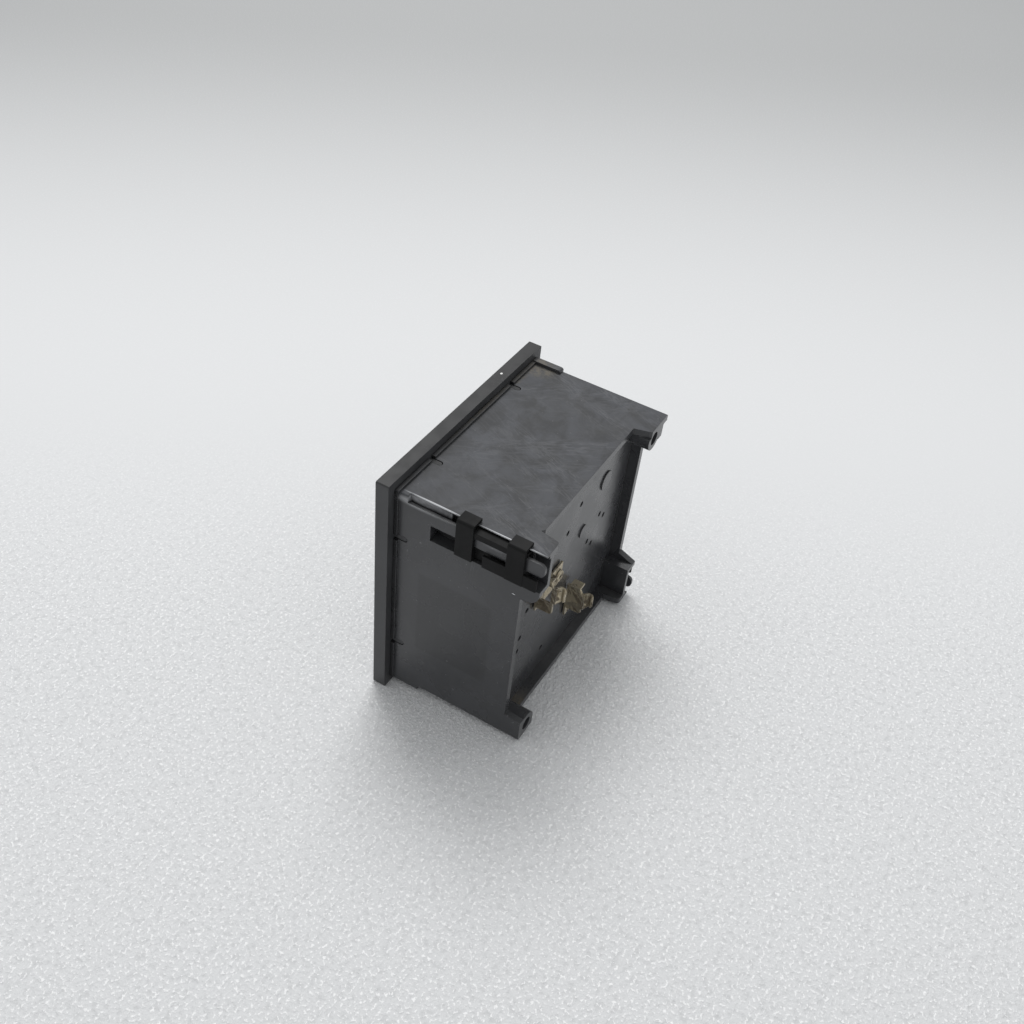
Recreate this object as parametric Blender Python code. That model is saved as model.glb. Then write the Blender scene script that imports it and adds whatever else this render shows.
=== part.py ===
# Panel ammeter, 96 mm square front, moving-iron movement with a quarter-circle scale.
# The meter is modelled about the centre of its front face: X to the right seen from the front,
# Y from the front face to the rear, Z up. One empty then stands it on its lower edge.

import math

import bmesh
import bpy
from mathutils import Matrix, Vector

mm = 0.001

# Fits
fit_gap = 0.3 * mm
over = 1.0 * mm

# Bezel and window
bezel_size = 96.0 * mm
bezel_depth = 5.0 * mm
bezel_corner = 0.6 * mm
bezel_chamfer = 0.3 * mm
bezel_border = 7.5 * mm
window_slope = 0.9 * mm
lip_thickness = 1.5 * mm
glass_thickness = 2.0 * mm
skirt_thickness = 5.4 * mm
gasket_thickness = 0.8 * mm
gasket_width = 1.4 * mm

# Case
bezel_overhang = 3.9 * mm
case_wall = 2.5 * mm
case_corner = 0.8 * mm
collar_width = 1.4 * mm
collar_height = 0.9 * mm
post_depth = 58.3 * mm
post_height = 6.3 * mm
rim_height = 4.0 * mm
plate_thickness = 2.5 * mm
tongue_beyond = 0.7 * mm

# Snap tongues of the bezel in the case's slots
tongue_offset = 25.0 * mm
tongue_width = 1.6 * mm
tongue_thickness = 1.2 * mm
tongue_length = 4.7 * mm
slot_depth = 1.7 * mm

# Rail corner: groove, band, channel and lip, each measured in from the case's outer face
groove_high_inset = 0.7 * mm
groove_low_inset = 2.7 * mm
groove_bottom_inset = 2.3 * mm
groove_start = 9.6 * mm
deep_groove_inset = 3.7 * mm
lip_edge_inset = 2.0 * mm
band_thickness = 1.1 * mm
band_slot_inset = 5.5 * mm
channel_high_inset = 7.7 * mm
channel_width = 6.4 * mm
channel_depth = 4.7 * mm
rail_block_wall = 1.8 * mm
rail_block_below = 2.0 * mm
rail_block_slope = 2.8 * mm
rail_block_behind_dial = 1.5 * mm
channel_behind_block = 4.4 * mm
deep_groove_behind_channel = 6.2 * mm
rail_ear_inset = 10.7 * mm
rail_ear_height = 20.1 * mm
tongue_high_inset = 2.3 * mm
tongue_height = 5.2 * mm
tongue_corner = 2.0 * mm
tongue_root_beyond = 1.0 * mm

# Bosses behind the rim, measured in from the case's outer face
screw_bore = 2.5 * mm
bore_depth = 9.0 * mm
far_boss_radius = 4.5 * mm
far_boss_inset = 9.8 * mm
far_ear_inset = 13.0 * mm
far_ear_flare = 1.6 * mm
far_flank_inset = 2.8 * mm
far_flank_thickness = 2.8 * mm
far_flank_height = 7.6 * mm
near_boss_radius = 4.5 * mm
near_boss_inset = 5.1 * mm

# Keys that turn the meter the right way in its cut-out
key_width = 2.6 * mm
key_height = 1.3 * mm
key_end = 16.7 * mm

# Marks on the back plate
disc_height = 0.5 * mm
large_disc = (-22.8 * mm, 23.4 * mm, 3.8 * mm)
small_disc = (-9.0 * mm, 9.6 * mm, 2.6 * mm)
pip_radius = 1.1 * mm
pip_depth = 1.8 * mm
pip_spots = [(-12.0, 33.0), (-3.9, 26.0), (3.9, 18.4), (-22.8, 7.4), (-26.7, 4.1), (-15.1, -0.3), (-19.1, -4.3),
             (8.4, 34.4), (-0.3, 34.2), (28.6, 2.2), (34.0, 0.4), (31.4, -9.0), (32.2, -15.2), (12.0, -32.2)]

# Clamps
clamp_gap = 0.3 * mm
clamp_wall = 1.1 * mm
clamp_shoulder = 1.1 * mm
saddle_length = 6.2 * mm
saddle_inset = 12.0 * mm
clamp_travel = 3.3 * mm
clamp_reach_inset = 3.7 * mm
clamp_foot_above = 0.7 * mm
hook_thickness = 1.2 * mm
bar_height = 2.3 * mm
bar_stand = 0.7 * mm
skirt_before_saddle = 8.1 * mm
skirt_inset = 0.9 * mm
skirt_high_inset = 0.8 * mm

# Movement axis and zero adjuster
pivot_inset = 17.6 * mm
adjuster_drop = 13.0 * mm
eccentric = 1.2 * mm
adjuster_head = 3.1 * mm
adjuster_shaft = 1.9 * mm
eccentric_pin = 0.6 * mm

# Dial and pivot cover
dial_front = 12.0 * mm
dial_thickness = 0.5 * mm
dial_margin = 1.0 * mm
dial_hole = 11.0 * mm
dial_screw_inset = 4.4 * mm
cover_front = 4.3 * mm
cover_thickness = 0.6 * mm
cover_radius = 36.0 * mm
cover_leg = 1.2 * mm
cover_leg_spots = [(15.0, 0.0), (-8.0, -14.8)]

# Frame and bridge
frame_stand = 7.5 * mm
frame_thickness = 2.0 * mm
frame_reach = 19.2 * mm
frame_edge_gap = 0.8 * mm
frame_corner = 3.0 * mm
pillar_spare = 1.3 * mm
pillar_radius = 2.2 * mm
bridge_behind_cover = 1.5 * mm
bridge_thickness = 1.0 * mm
bridge_width = 6.4 * mm
screw_spare = 2.6 * mm
lower_screw_inset = 0.5 * mm
boss_radius = 3.2 * mm
front_bearing_radius = 1.2 * mm
rear_bearing_radius = 1.5 * mm
lever_thickness = 0.5 * mm

# Screws
screw_shank = 0.8 * mm
screw_hole = 1.1 * mm
screw_head = 1.9 * mm
screw_head_height = 0.8 * mm
screw_slot = 0.5 * mm
dial_screw_length = 5.0 * mm
frame_screw_length = 6.0 * mm
bridge_screw_length = 5.5 * mm
screw_hole_spare = 2.0 * mm

# Spindle and what turns on it
spindle_radius = 0.6 * mm
spindle_beyond_bridge = 1.1 * mm
spindle_before_frame = 1.4 * mm
hub_bore = spindle_radius + fit_gap
pointer_short_of_edge = 12.6 * mm
pointer_before_dial = 2.3 * mm
pointer_thickness = 0.5 * mm
pointer_tip_length = 9.0 * mm
pointer_hub = 2.0 * mm
tail_length = 12.0 * mm
side_arm_length = 8.6 * mm
tail_weight_place = 9.5 * mm
side_weight_place = 6.8 * mm
hairspring_beyond_bridge = 1.2 * mm
hairspring_height = 0.5 * mm
hairspring_turns = 3
hairspring_steps = 18
hairspring_pitch = 1.1 * mm
hairspring_strip = 0.25 * mm

# Coil and vanes
bobbin_bore = 5.5 * mm
bobbin_wall = 1.0 * mm
flange_radius = 15.0 * mm
flange_thickness = 1.2 * mm
winding_inset = 1.0 * mm
fixed_vane_outer = 5.2 * mm
moving_vane_outer = 3.95 * mm
vane_thickness = 0.35 * mm

# Air damping
damper_inner = 8.0 * mm
damper_outer = 16.6 * mm
damper_wall = 0.8 * mm
damper_depth = 3.4 * mm
damper_floor_thickness = 0.5 * mm
damper_cover_thickness = 0.5 * mm
damper_behind_dial = 0.6 * mm
damper_sweep = 106.0

# Terminals
terminal_strip = 0.8 * mm
terminal_foot_half = 4.5 * mm
terminal_foot_beyond = 2.8 * mm
terminal_web_high = 11.5 * mm
terminal_web_length = 6.7 * mm
terminal_curl = 1.55 * mm
terminal_curl_low = 2.3 * mm
terminal_curl_high = 9.7 * mm
terminal_flange = 4.0 * mm
terminal_flange_behind = 0.2 * mm
terminal_flange_length = 4.2 * mm
terminal_window_behind = 1.3 * mm
terminal_window_rim = 1.0 * mm
terminal_window_low = 2.0 * mm
terminal_window_height = 7.6 * mm
rivet_radius = 1.5 * mm
rivet_head = 2.4 * mm
near_terminal = (24.3 * mm, 3.4 * mm)
near_web_low = -2.8 * mm
near_rivet_offset = -15.0 * mm
far_terminal = (-2.6 * mm, -22.9 * mm)
far_web_low = -0.3 * mm
far_rivet_offset = -3.8 * mm
lead_radius = 0.6 * mm

# Sizes that follow
bezel_half = bezel_size / 2
window_half = bezel_half - bezel_border
skirt_half = bezel_half - skirt_thickness
glass_half = skirt_half - fit_gap
case_half = bezel_half - bezel_overhang
inner_half = case_half - case_wall
glass_front = lip_thickness + fit_gap
glass_rear = glass_front + glass_thickness
gasket_front = glass_rear + fit_gap
gasket_rear = gasket_front + gasket_thickness
case_front = gasket_rear + fit_gap
collar_rear = case_front + collar_width
rim_depth = post_depth - post_height
plate_face = rim_depth - rim_height
plate_inner = plate_face - plate_thickness
tongue_depth = post_depth + tongue_beyond
tongue_root = rim_depth + tongue_root_beyond
groove_high = case_half - groove_high_inset
groove_low = case_half - groove_low_inset
groove_bottom = case_half - groove_bottom_inset
deep_groove_bottom = case_half - deep_groove_inset
lip_edge = case_half - lip_edge_inset
band_inside = case_half - band_thickness
band_slot_low = case_half - band_slot_inset
channel_high = case_half - channel_high_inset
channel_low = channel_high - channel_width
channel_bottom = case_half - channel_depth
rail_block_inside = channel_bottom - rail_block_wall
rail_block_low = channel_low - rail_block_below
rail_ear_inside = case_half - rail_ear_inset
rail_ear_low = case_half - rail_ear_height
tongue_high = case_half - tongue_high_inset
tongue_low = tongue_high - tongue_height
rail_block_start = dial_front + dial_thickness + rail_block_behind_dial
channel_start = rail_block_start + channel_behind_block
deep_groove_start = channel_start + deep_groove_behind_channel
saddle_front = deep_groove_start + clamp_travel + fit_gap
saddle_rear = post_depth - saddle_inset
clamp_reach = case_half - clamp_reach_inset
clamp_foot = channel_low + clamp_foot_above
skirt_end = post_depth - skirt_inset
skirt_start = saddle_rear - skirt_before_saddle
skirt_high = channel_high - skirt_high_inset
far_boss_x = far_boss_inset - case_half
far_ear_inside = case_half - far_ear_inset
far_flank_outer = case_half - far_flank_inset
far_flank_inner = far_flank_outer - far_flank_thickness
far_flank_low = case_half - far_flank_height
near_boss_x = case_half - near_boss_inset
far_boss_z = case_half - far_boss_radius
near_boss_z = near_boss_radius - case_half
pivot_x = inner_half - pivot_inset
pivot_z = -pivot_x
dial_half = inner_half - dial_margin
dial_rear = dial_front + dial_thickness
dial_screw_spot = dial_half - dial_screw_inset
frame_face = plate_inner - frame_stand
frame_rear = frame_face + frame_thickness
bridge_front = cover_front + cover_thickness + bridge_behind_cover
bridge_rear = bridge_front + bridge_thickness
spindle_front = bridge_rear + spindle_beyond_bridge
spindle_rear = frame_face - spindle_before_frame
hairspring_face = bridge_rear + hairspring_beyond_bridge
pointer_face = dial_front - pointer_before_dial
pointer_length = pivot_x + dial_half - pointer_short_of_edge
damper_cover_front = dial_rear + damper_behind_dial
damper_front = damper_cover_front + damper_cover_thickness + fit_gap
damper_floor = damper_front + damper_depth
bobbin_front = damper_floor + damper_floor_thickness + fit_gap
bobbin_rear = frame_face - fit_gap
winding_radius = flange_radius - winding_inset
pillar_distance = flange_radius + pillar_radius + pillar_spare
frame_screw_distance = flange_radius + screw_head + screw_spare
terminal_front = plate_face + fit_gap
terminal_rear = terminal_front + terminal_strip
terminal_web_rear = terminal_front + terminal_web_length
lever_front = bridge_rear + 0.1 * mm
diagonal = math.sqrt(0.5)
overall_depth = tongue_depth


# Working solids
def work_solid(bm):
    bmesh.ops.remove_doubles(bm, verts=bm.verts, dist=0.000001)
    bmesh.ops.recalc_face_normals(bm, faces=bm.faces)
    mesh = bpy.data.meshes.new("work")
    bm.to_mesh(mesh)
    bm.free()
    solid = bpy.data.objects.new("work", mesh)
    bpy.context.scene.collection.objects.link(solid)
    return solid


def spot(axis, a, b, depth):
    places = {"x": (depth, a, b), "y": (a, depth, b), "z": (a, b, depth)}
    return Vector(places[axis])


def prism(outline, axis, start, end):
    bm = bmesh.new()
    face = bm.faces.new([bm.verts.new(spot(axis, a, b, start)) for a, b in outline])
    grown = bmesh.ops.extrude_face_region(bm, geom=[face])
    moved = [item for item in grown["geom"] if isinstance(item, bmesh.types.BMVert)]
    bmesh.ops.translate(bm, verts=moved, vec=spot(axis, 0, 0, end - start))
    return work_solid(bm)


def block(x, y, z):
    outline = [(x[0], z[0]), (x[1], z[0]), (x[1], z[1]), (x[0], z[1])]
    return prism(outline, "y", y[0], y[1])


def turned(profile, sides=32):
    # The profile is a list of (radius, depth), turned about the Y axis
    bm = bmesh.new()
    verts = [bm.verts.new((radius, depth, 0)) for radius, depth in profile]
    edges = [bm.edges.new(pair) for pair in zip(verts, verts[1:])]
    if profile[0][0] > 0:
        edges.append(bm.edges.new((verts[-1], verts[0])))
    bmesh.ops.spin(bm, geom=verts + edges, cent=(0, 0, 0), axis=(0, 1, 0), angle=math.tau,
                   steps=sides, use_merge=True, use_duplicate=False)
    return work_solid(bm)


def circle(radius, sides=24, centre=(0, 0)):
    turn = math.tau / sides
    return [(centre[0] + radius * math.cos(turn * i), centre[1] + radius * math.sin(turn * i))
            for i in range(sides)]


def arc(radius, start, end, steps, centre=(0, 0)):
    angles = [math.radians(start + (end - start) * i / steps) for i in range(steps + 1)]
    return [(centre[0] + radius * math.cos(a), centre[1] + radius * math.sin(a)) for a in angles]


def rod(radius, depths, centre, sides=24):
    return prism(circle(radius, sides, centre), "y", depths[0], depths[1])


def rounded_square(half, radius, steps=4):
    corners = []
    for quarter in range(4):
        middle = Matrix.Rotation(math.radians(90 * quarter), 2) @ Vector((half - radius, half - radius))
        corners += arc(radius, 90 * quarter, 90 * quarter + 90, steps, middle)
    return corners


def ribbon(points, thickness):
    # Outline of a strip that follows the points
    left = []
    right = []
    for i, point in enumerate(points):
        ahead = Vector(points[min(i + 1, len(points) - 1)]) - Vector(point)
        behind = Vector(point) - Vector(points[max(i - 1, 0)])
        if ahead.length == 0:
            ahead = behind
        if behind.length == 0:
            behind = ahead
        bisector = (ahead.normalized() + behind.normalized()).normalized()
        widening = 1 / max(bisector.dot(ahead.normalized()), 0.5)
        side = Vector((-bisector.y, bisector.x)) * thickness / 2 * widening
        left.append(tuple(Vector(point) + side))
        right.append(tuple(Vector(point) - side))
    return left + right[::-1]


def combine(target, tool, operation):
    change = target.modifiers.new(operation.lower(), "BOOLEAN")
    change.operation = operation
    change.solver = "EXACT"
    change.object = tool
    found = target.evaluated_get(bpy.context.evaluated_depsgraph_get())
    result = bpy.data.meshes.new_from_object(found)
    target.modifiers.clear()
    target.data = result
    bpy.data.objects.remove(tool, do_unlink=True)


def join(target, *tools):
    for tool in tools:
        combine(target, tool, "UNION")
    return target


def cut(target, *tools):
    for tool in tools:
        combine(target, tool, "DIFFERENCE")
    return target


def soften(solid, depth, width):
    # Round the edges that lie in one plane across the depth
    bm = bmesh.new()
    bm.from_mesh(solid.data)
    edges = [edge for edge in bm.edges if all(abs(vert.co.y - depth) < 0.001 * mm for vert in edge.verts)]
    bmesh.ops.bevel(bm, geom=edges, offset=width, segments=2, profile=0.5, affect="EDGES")
    bm.to_mesh(solid.data)
    bm.free()
    return solid


def turn_about_depth(solid, degrees, centre=(0, 0)):
    place = Matrix.Translation((centre[0], 0, centre[1]))
    solid.data.transform(place @ Matrix.Rotation(math.radians(-degrees), 4, "Y") @ place.inverted())
    return solid


def shift(solid, x, y, z):
    solid.data.transform(Matrix.Translation((x, y, z)))
    return solid


def finished(solid, name, parent, colour, roughness, metallic=0.0, smooth=True):
    solid.name = name
    solid.data.name = name
    solid.parent = parent
    material = bpy.data.materials.new(name)
    material.use_nodes = True
    shader = material.node_tree.nodes["Principled BSDF"]
    shader.inputs["Base Color"].default_value = (*colour, 1)
    shader.inputs["Roughness"].default_value = roughness
    shader.inputs["Metallic"].default_value = metallic
    solid.data.materials.clear()
    solid.data.materials.append(material)
    if smooth:
        solid.data.shade_smooth()
        solid.data.set_sharp_from_angle(angle=math.radians(35))
    return solid


def axis_empty(name, parent, place):
    empty = bpy.data.objects.new(name, None)
    empty.parent = parent
    empty.location = place
    bpy.context.scene.collection.objects.link(empty)
    return empty


black_plastic = (0.05, 0.052, 0.055)
matt_black = (0.022, 0.022, 0.023)
steel = (0.55, 0.55, 0.54)
brass = (0.45, 0.38, 0.22)
tinned_brass = (0.32, 0.28, 0.2)
aluminium = (0.7, 0.71, 0.72)
copper = (0.7, 0.32, 0.17)


# Four sides of the case, each as a turn about the depth axis
def each_side(make):
    for quarter in range(4):
        for offset in (-tongue_offset, tongue_offset):
            yield turn_about_depth(make(offset), 90 * quarter)


def snap_tongue(offset):
    # A tongue with a round end on the top side
    outer = case_half - fit_gap / 2
    half = tongue_width / 2
    end = bezel_depth + tongue_length - half
    start = bezel_depth - over / 2
    tip = [(offset + x, end + y) for x, y in arc(half, 0, 180, 6)]
    outline = [(offset - half, start), (offset + half, start)] + tip
    return prism(outline, "z", outer - tongue_thickness, outer)


def snap_slot(offset):
    half = tongue_width / 2 + fit_gap
    end = bezel_depth + tongue_length + fit_gap - half
    start = case_front - over
    tip = [(offset + x, end + y) for x, y in arc(half, 0, 180, 8)]
    outline = [(offset - half, start), (offset + half, start)] + tip
    return prism(outline, "z", case_half - slot_depth, case_half + collar_height + over)


def build_bezel(frame):
    body = prism(rounded_square(bezel_half, bezel_corner), "y", 0, bezel_depth)
    soften(body, 0, bezel_chamfer)
    opening = prism(rounded_square(window_half, 0.6 * mm), "y", -over, lip_thickness + over)
    cut(body, opening)
    slope = prism(rounded_square(window_half + window_slope, 0.6 * mm), "y", -over, 0)
    slope_bm = bmesh.new()
    slope_bm.from_mesh(slope.data)
    for vert in slope_bm.verts:
        if vert.co.y > -over / 2:
            vert.co.x *= (window_half - window_slope) / (window_half + window_slope)
            vert.co.z *= (window_half - window_slope) / (window_half + window_slope)
            vert.co.y = lip_thickness + over
    slope_bm.to_mesh(slope.data)
    slope_bm.free()
    cut(body, slope)
    cut(body, prism(rounded_square(skirt_half, 0.6 * mm), "y", lip_thickness, bezel_depth + over))
    join(body, *each_side(snap_tongue))
    finished(body, "bezel", frame, black_plastic, 0.45)


def build_window(frame):
    adjuster_z = pivot_z - adjuster_drop
    glass = prism(rounded_square(glass_half, 0.5 * mm), "y", glass_front, glass_rear)
    cut(glass, rod(adjuster_shaft + fit_gap, (0, glass_rear + over), (pivot_x, adjuster_z)))
    finished(glass, "window_glass", frame, (0.8, 0.85, 0.85), 0.05)
    gasket = prism(rounded_square(glass_half, 0.5 * mm), "y", gasket_front, gasket_rear)
    cut(gasket, prism(rounded_square(glass_half - gasket_width, 0.5 * mm), "y", 0, gasket_rear + over))
    finished(gasket, "window_gasket", frame, matt_black, 0.9)


def rear_cavity():
    # Outline of the recess behind the back plate, round the bosses in its corners
    far = arc(far_boss_radius, 26, -159, 16, (far_boss_x, far_boss_z))
    near = arc(near_boss_radius, 180, 90, 8, (near_boss_x, near_boss_z))
    outline = [(rail_block_inside, inner_half), (far[0][0], inner_half)] + far
    outline += [(-far_flank_inner, far_flank_low), (-inner_half, far_flank_low),
                (-inner_half, -rail_block_low), (-rail_block_inside, -rail_block_low),
                (-rail_block_inside, -inner_half), (near_boss_x - near_boss_radius, -inner_half)]
    outline += near + [(inner_half, near[-1][1]), (inner_half, rail_block_low),
                       (rail_block_inside, rail_block_low)]
    return prism(outline, "y", plate_face, post_depth + over)


def front_cavity():
    inner = inner_half - 0.05 * mm
    outline = []
    for sign in (1, -1):
        corners = [(inner, rail_block_low), (rail_block_inside, rail_block_low), (rail_block_inside, inner),
                   (-inner, inner)]
        outline += [(sign * x, sign * z) for x, z in corners]
    return [prism(rounded_square(inner_half, 0.6 * mm), "y", case_front - over, rail_block_start),
            prism(outline, "y", rail_block_start - over, plate_inner)]


def rim_gaps():
    # Between the corners the rim ends short of the posts
    behind = post_depth + over
    wall = (inner_half - 0.4 * mm, case_half + over)
    round_end = 1.5 * mm
    corner = [(rail_ear_inside + round_end * 1.6 + x, post_depth - round_end + y)
              for x, y in arc(round_end, 90, 180, 4)]
    rail_end = [(corner[0][0], behind)] + corner
    rail_end += [(rail_ear_inside, rim_depth - 0.9 * mm), (rail_ear_inside - 1.4 * mm, rim_depth)]
    far_end = [(-far_ear_inside + far_ear_flare, rim_depth), (-far_ear_inside, post_depth - 0.9 * mm),
               (-far_ear_inside - 0.5 * mm, post_depth), (-far_ear_inside - 0.5 * mm, behind)]
    top = prism(rail_end + far_end, "z", *wall)
    near_edge = near_boss_x - near_boss_radius - 0.1 * mm
    near_end = [(-near_edge - 0.4 * mm, rim_depth), (-near_edge, post_depth - 0.4 * mm), (-near_edge, behind)]
    bottom = turn_about_depth(prism(rail_end + near_end, "z", *wall), 180)
    near_low = near_boss_z + near_boss_radius + 0.2 * mm
    ear_corner = 4.4 * mm
    ear_end = [(post_depth - ear_corner + y, rail_ear_low + ear_corner + z)
               for y, z in arc(ear_corner, 0, -90, 6)]
    near = prism([(rim_depth, near_low + 0.9 * mm), (post_depth, near_low), (behind, near_low),
                  (behind, rail_ear_low + ear_corner)] + ear_end + [(rim_depth, rail_ear_low - 0.3 * mm)],
                 "x", *wall)
    far_high = inner_half - 0.1 * mm
    far = prism([(rim_depth, -rail_block_low + rail_block_slope), (post_depth, -rail_block_low),
                 (behind, -rail_block_low), (behind, far_high), (rim_depth, far_high)],
                "x", -case_half - over, -far_flank_outer)
    return [top, bottom, near, far]


def band_tongue():
    half = (tongue_high - tongue_low) / 2
    middle = (tongue_high + tongue_low) / 2
    corner = tongue_corner
    end = tongue_depth - corner
    upper = [(end + y, middle + half - corner + z) for y, z in arc(corner, 90, 0, 5)]
    lower = [(end + y, middle - half + corner + z) for y, z in arc(corner, 0, -90, 5)]
    start = tongue_root - over
    outline = [(start, middle - half), (start, middle + half)] + upper + lower
    return prism(outline, "x", band_inside, case_half)


def rail_corner(case, side):
    # side +1 is the upper right corner, -1 the same corner turned half round
    turn = 0 if side > 0 else 180
    beyond = case_half + over + collar_height
    behind = post_depth + over
    ease = 0.05 * mm
    channel = block((channel_bottom, beyond), (channel_start, behind), (channel_low, channel_high))
    outline = [(groove_bottom, band_slot_low), (band_inside, band_slot_low), (band_inside, groove_low),
               (beyond, groove_low), (beyond, beyond), (lip_edge, beyond), (lip_edge, groove_high),
               (groove_bottom, groove_high)]
    groove = prism(outline, "y", groove_start, behind)
    deep = block((deep_groove_bottom, groove_bottom + over / 4), (deep_groove_start, behind),
                 (band_slot_low + ease, groove_high - ease))
    relief = block((channel_bottom, beyond), (tongue_root, behind),
                   (channel_high - over / 4, groove_low + over / 4))
    cut(case, *[turn_about_depth(item, turn) for item in (channel, groove, deep, relief)])
    join(case, turn_about_depth(band_tongue(), turn))


def boss_bores():
    depths = (post_depth - bore_depth, post_depth + over)
    return [rod(screw_bore, depths, (far_boss_x, far_boss_z), 28),
            rod(screw_bore, depths, (near_boss_x, near_boss_z), 28)]


def key_block(side):
    turn = 0 if side > 0 else 180
    round_end = 0.9 * mm
    end = key_end - round_end
    low = case_half - over / 2
    high = case_half + key_height
    tip = [(end + y, high - round_end + z) for y, z in arc(round_end, 90, 0, 3)]
    outline = [(case_front + over / 4, low), (case_front + over / 4, high)] + tip + [(key_end, low)]
    body = prism(outline, "x", -case_half, -case_half + key_width)
    return turn_about_depth(body, turn)


def terminal_plans():
    # Name, place, lower end of the web and place of the rivet
    return [("near", near_terminal, near_web_low, near_terminal[0] + near_rivet_offset),
            ("far", far_terminal, far_web_low, far_terminal[0] + far_rivet_offset)]


def frame_screw_spots():
    return [(pivot_x - frame_screw_distance * diagonal, pivot_z + frame_screw_distance * diagonal),
            (pivot_x + (frame_screw_distance - lower_screw_inset) * diagonal,
             pivot_z - (frame_screw_distance - lower_screw_inset) * diagonal)]


def pillar_spots():
    return [(pivot_x + pillar_distance * diagonal, pivot_z + pillar_distance * diagonal),
            (pivot_x - pillar_distance * diagonal, pivot_z - pillar_distance * diagonal)]


def build_case(frame):
    case = prism(rounded_square(case_half, case_corner), "y", case_front, post_depth)
    collar = rounded_square(case_half + collar_height, case_corner)
    join(case, prism(collar, "y", case_front - over / 4, collar_rear))
    cut(case, block((-bezel_half, bezel_half), (0, case_front), (-bezel_half, bezel_half)))
    cut(case, *front_cavity(), rear_cavity(), *rim_gaps(), *boss_bores())
    for side in (1, -1):
        rail_corner(case, side)
        join(case, key_block(side))
    cut(case, *each_side(snap_slot))
    for x, z, radius in (large_disc, small_disc):
        join(case, rod(radius, (plate_face - over, plate_face + disc_height), (x, z), 24))
    for x, z in pip_spots:
        cut(case, rod(pip_radius, (plate_face - pip_depth, plate_face + over), (x * mm, z * mm), 12))
    for place, (x, z), web_low, rivet_x in terminal_plans():
        cut(case, rod(rivet_radius + fit_gap, (plate_inner - over, plate_face + over), (rivet_x, z), 16))
    for x, z in frame_screw_spots():
        join(case, rod(boss_radius, (frame_rear + fit_gap, plate_inner + over / 2), (x, z), 20))
        cut(case, rod(screw_hole, (frame_rear - over, plate_inner - over / 2), (x, z), 12))
    for x in (-dial_screw_spot, dial_screw_spot):
        join(case, rod(boss_radius, (dial_rear + fit_gap, plate_inner + over / 2), (x, dial_screw_spot), 20))
        cut(case, rod(screw_hole, (dial_rear - over, dial_rear + dial_screw_length + screw_hole_spare),
                      (x, dial_screw_spot), 12))
    finished(case, "case", frame, black_plastic, 0.42)


def build_clamp(frame, name, side):
    # Two saddles over the lip, joined by a spine in the channel, a bar in the groove and a skirt
    turn = 0 if side > 0 else 180
    ease = 0.1 * mm
    outer = case_half + clamp_gap
    skin = outer + clamp_wall
    body_inside = channel_bottom + clamp_gap
    body_high = channel_high - clamp_gap
    body_low = channel_low + clamp_gap
    hook_high = groove_high - clamp_gap
    hook_low = hook_high - hook_thickness
    hook_inside = deep_groove_bottom + clamp_gap
    saddle = [(body_inside, body_low), (outer, body_low), (outer, clamp_foot), (skin, clamp_foot)]
    saddle += arc(clamp_shoulder, 0, 90, 4, (skin - clamp_shoulder, skin - clamp_shoulder))
    saddle += [(clamp_reach, skin), (clamp_reach, outer), (outer, outer), (outer, hook_high),
               (hook_inside, hook_high), (hook_inside, hook_low), (outer, hook_low), (outer, body_high),
               (body_inside, body_high)]
    clamp = prism(saddle, "y", saddle_front, saddle_front + saddle_length)
    join(clamp, prism(saddle, "y", saddle_rear, saddle_rear + saddle_length))
    spine = block((body_inside + ease, case_half - 1.2 * mm), (saddle_front + over, saddle_rear + over),
                  (body_low + ease, body_high - ease))
    bar_outside = outer + bar_stand
    bar = [(hook_inside + ease, hook_low + ease), (outer + ease, hook_low + ease),
           (outer + ease, hook_high - bar_height), (bar_outside, hook_high - bar_height),
           (bar_outside, hook_high - ease), (hook_inside + ease, hook_high - ease)]
    bar_solid = prism(bar, "y", saddle_front + over, saddle_rear + over)
    skirt = block((outer + ease, skin - ease), (skirt_start, skirt_end), (clamp_foot + ease, skirt_high))
    join(clamp, spine, bar_solid, soften(skirt, skirt_end, 0.3 * mm))
    finished(turn_about_depth(clamp, turn), name, frame, matt_black, 0.7)


def slotted_screw(front, length, centre, head=screw_head, angle=30):
    # Head towards the front, shank to the rear
    head_rear = front + screw_head_height
    edge = 0.2 * mm
    profile = [(0, front), (head - edge, front), (head, front + edge), (head, head_rear),
               (screw_shank, head_rear), (screw_shank, head_rear + length), (0, head_rear + length + edge)]
    screw = turned(profile, 20)
    slot = block((-head - over, head + over), (front - over, front + 0.4 * mm),
                 (-screw_slot / 2, screw_slot / 2))
    cut(screw, turn_about_depth(slot, angle))
    return shift(screw, centre[0], 0, centre[1])


def build_dial(frame):
    dial = prism(rounded_square(dial_half, 0.6 * mm), "y", dial_front, dial_rear)
    depths = (dial_front - over, dial_rear + over)
    cut(dial, rod(dial_hole, depths, (pivot_x, pivot_z), 40))
    for spot_xz in pillar_spots():
        cut(dial, rod(pillar_radius + fit_gap + 0.2 * mm, depths, spot_xz, 20))
    for x in (-dial_screw_spot, dial_screw_spot):
        cut(dial, rod(screw_hole, depths, (x, dial_screw_spot), 16))
    finished(dial, "dial_plate", frame, (0.86, 0.85, 0.8), 0.55)
    for name, x in (("dial_screw_left", -dial_screw_spot), ("dial_screw_right", dial_screw_spot)):
        front = dial_front - fit_gap - screw_head_height
        screw = slotted_screw(front, dial_screw_length, (x, dial_screw_spot))
        finished(screw, name, frame, steel, 0.35, 1.0)


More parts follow.
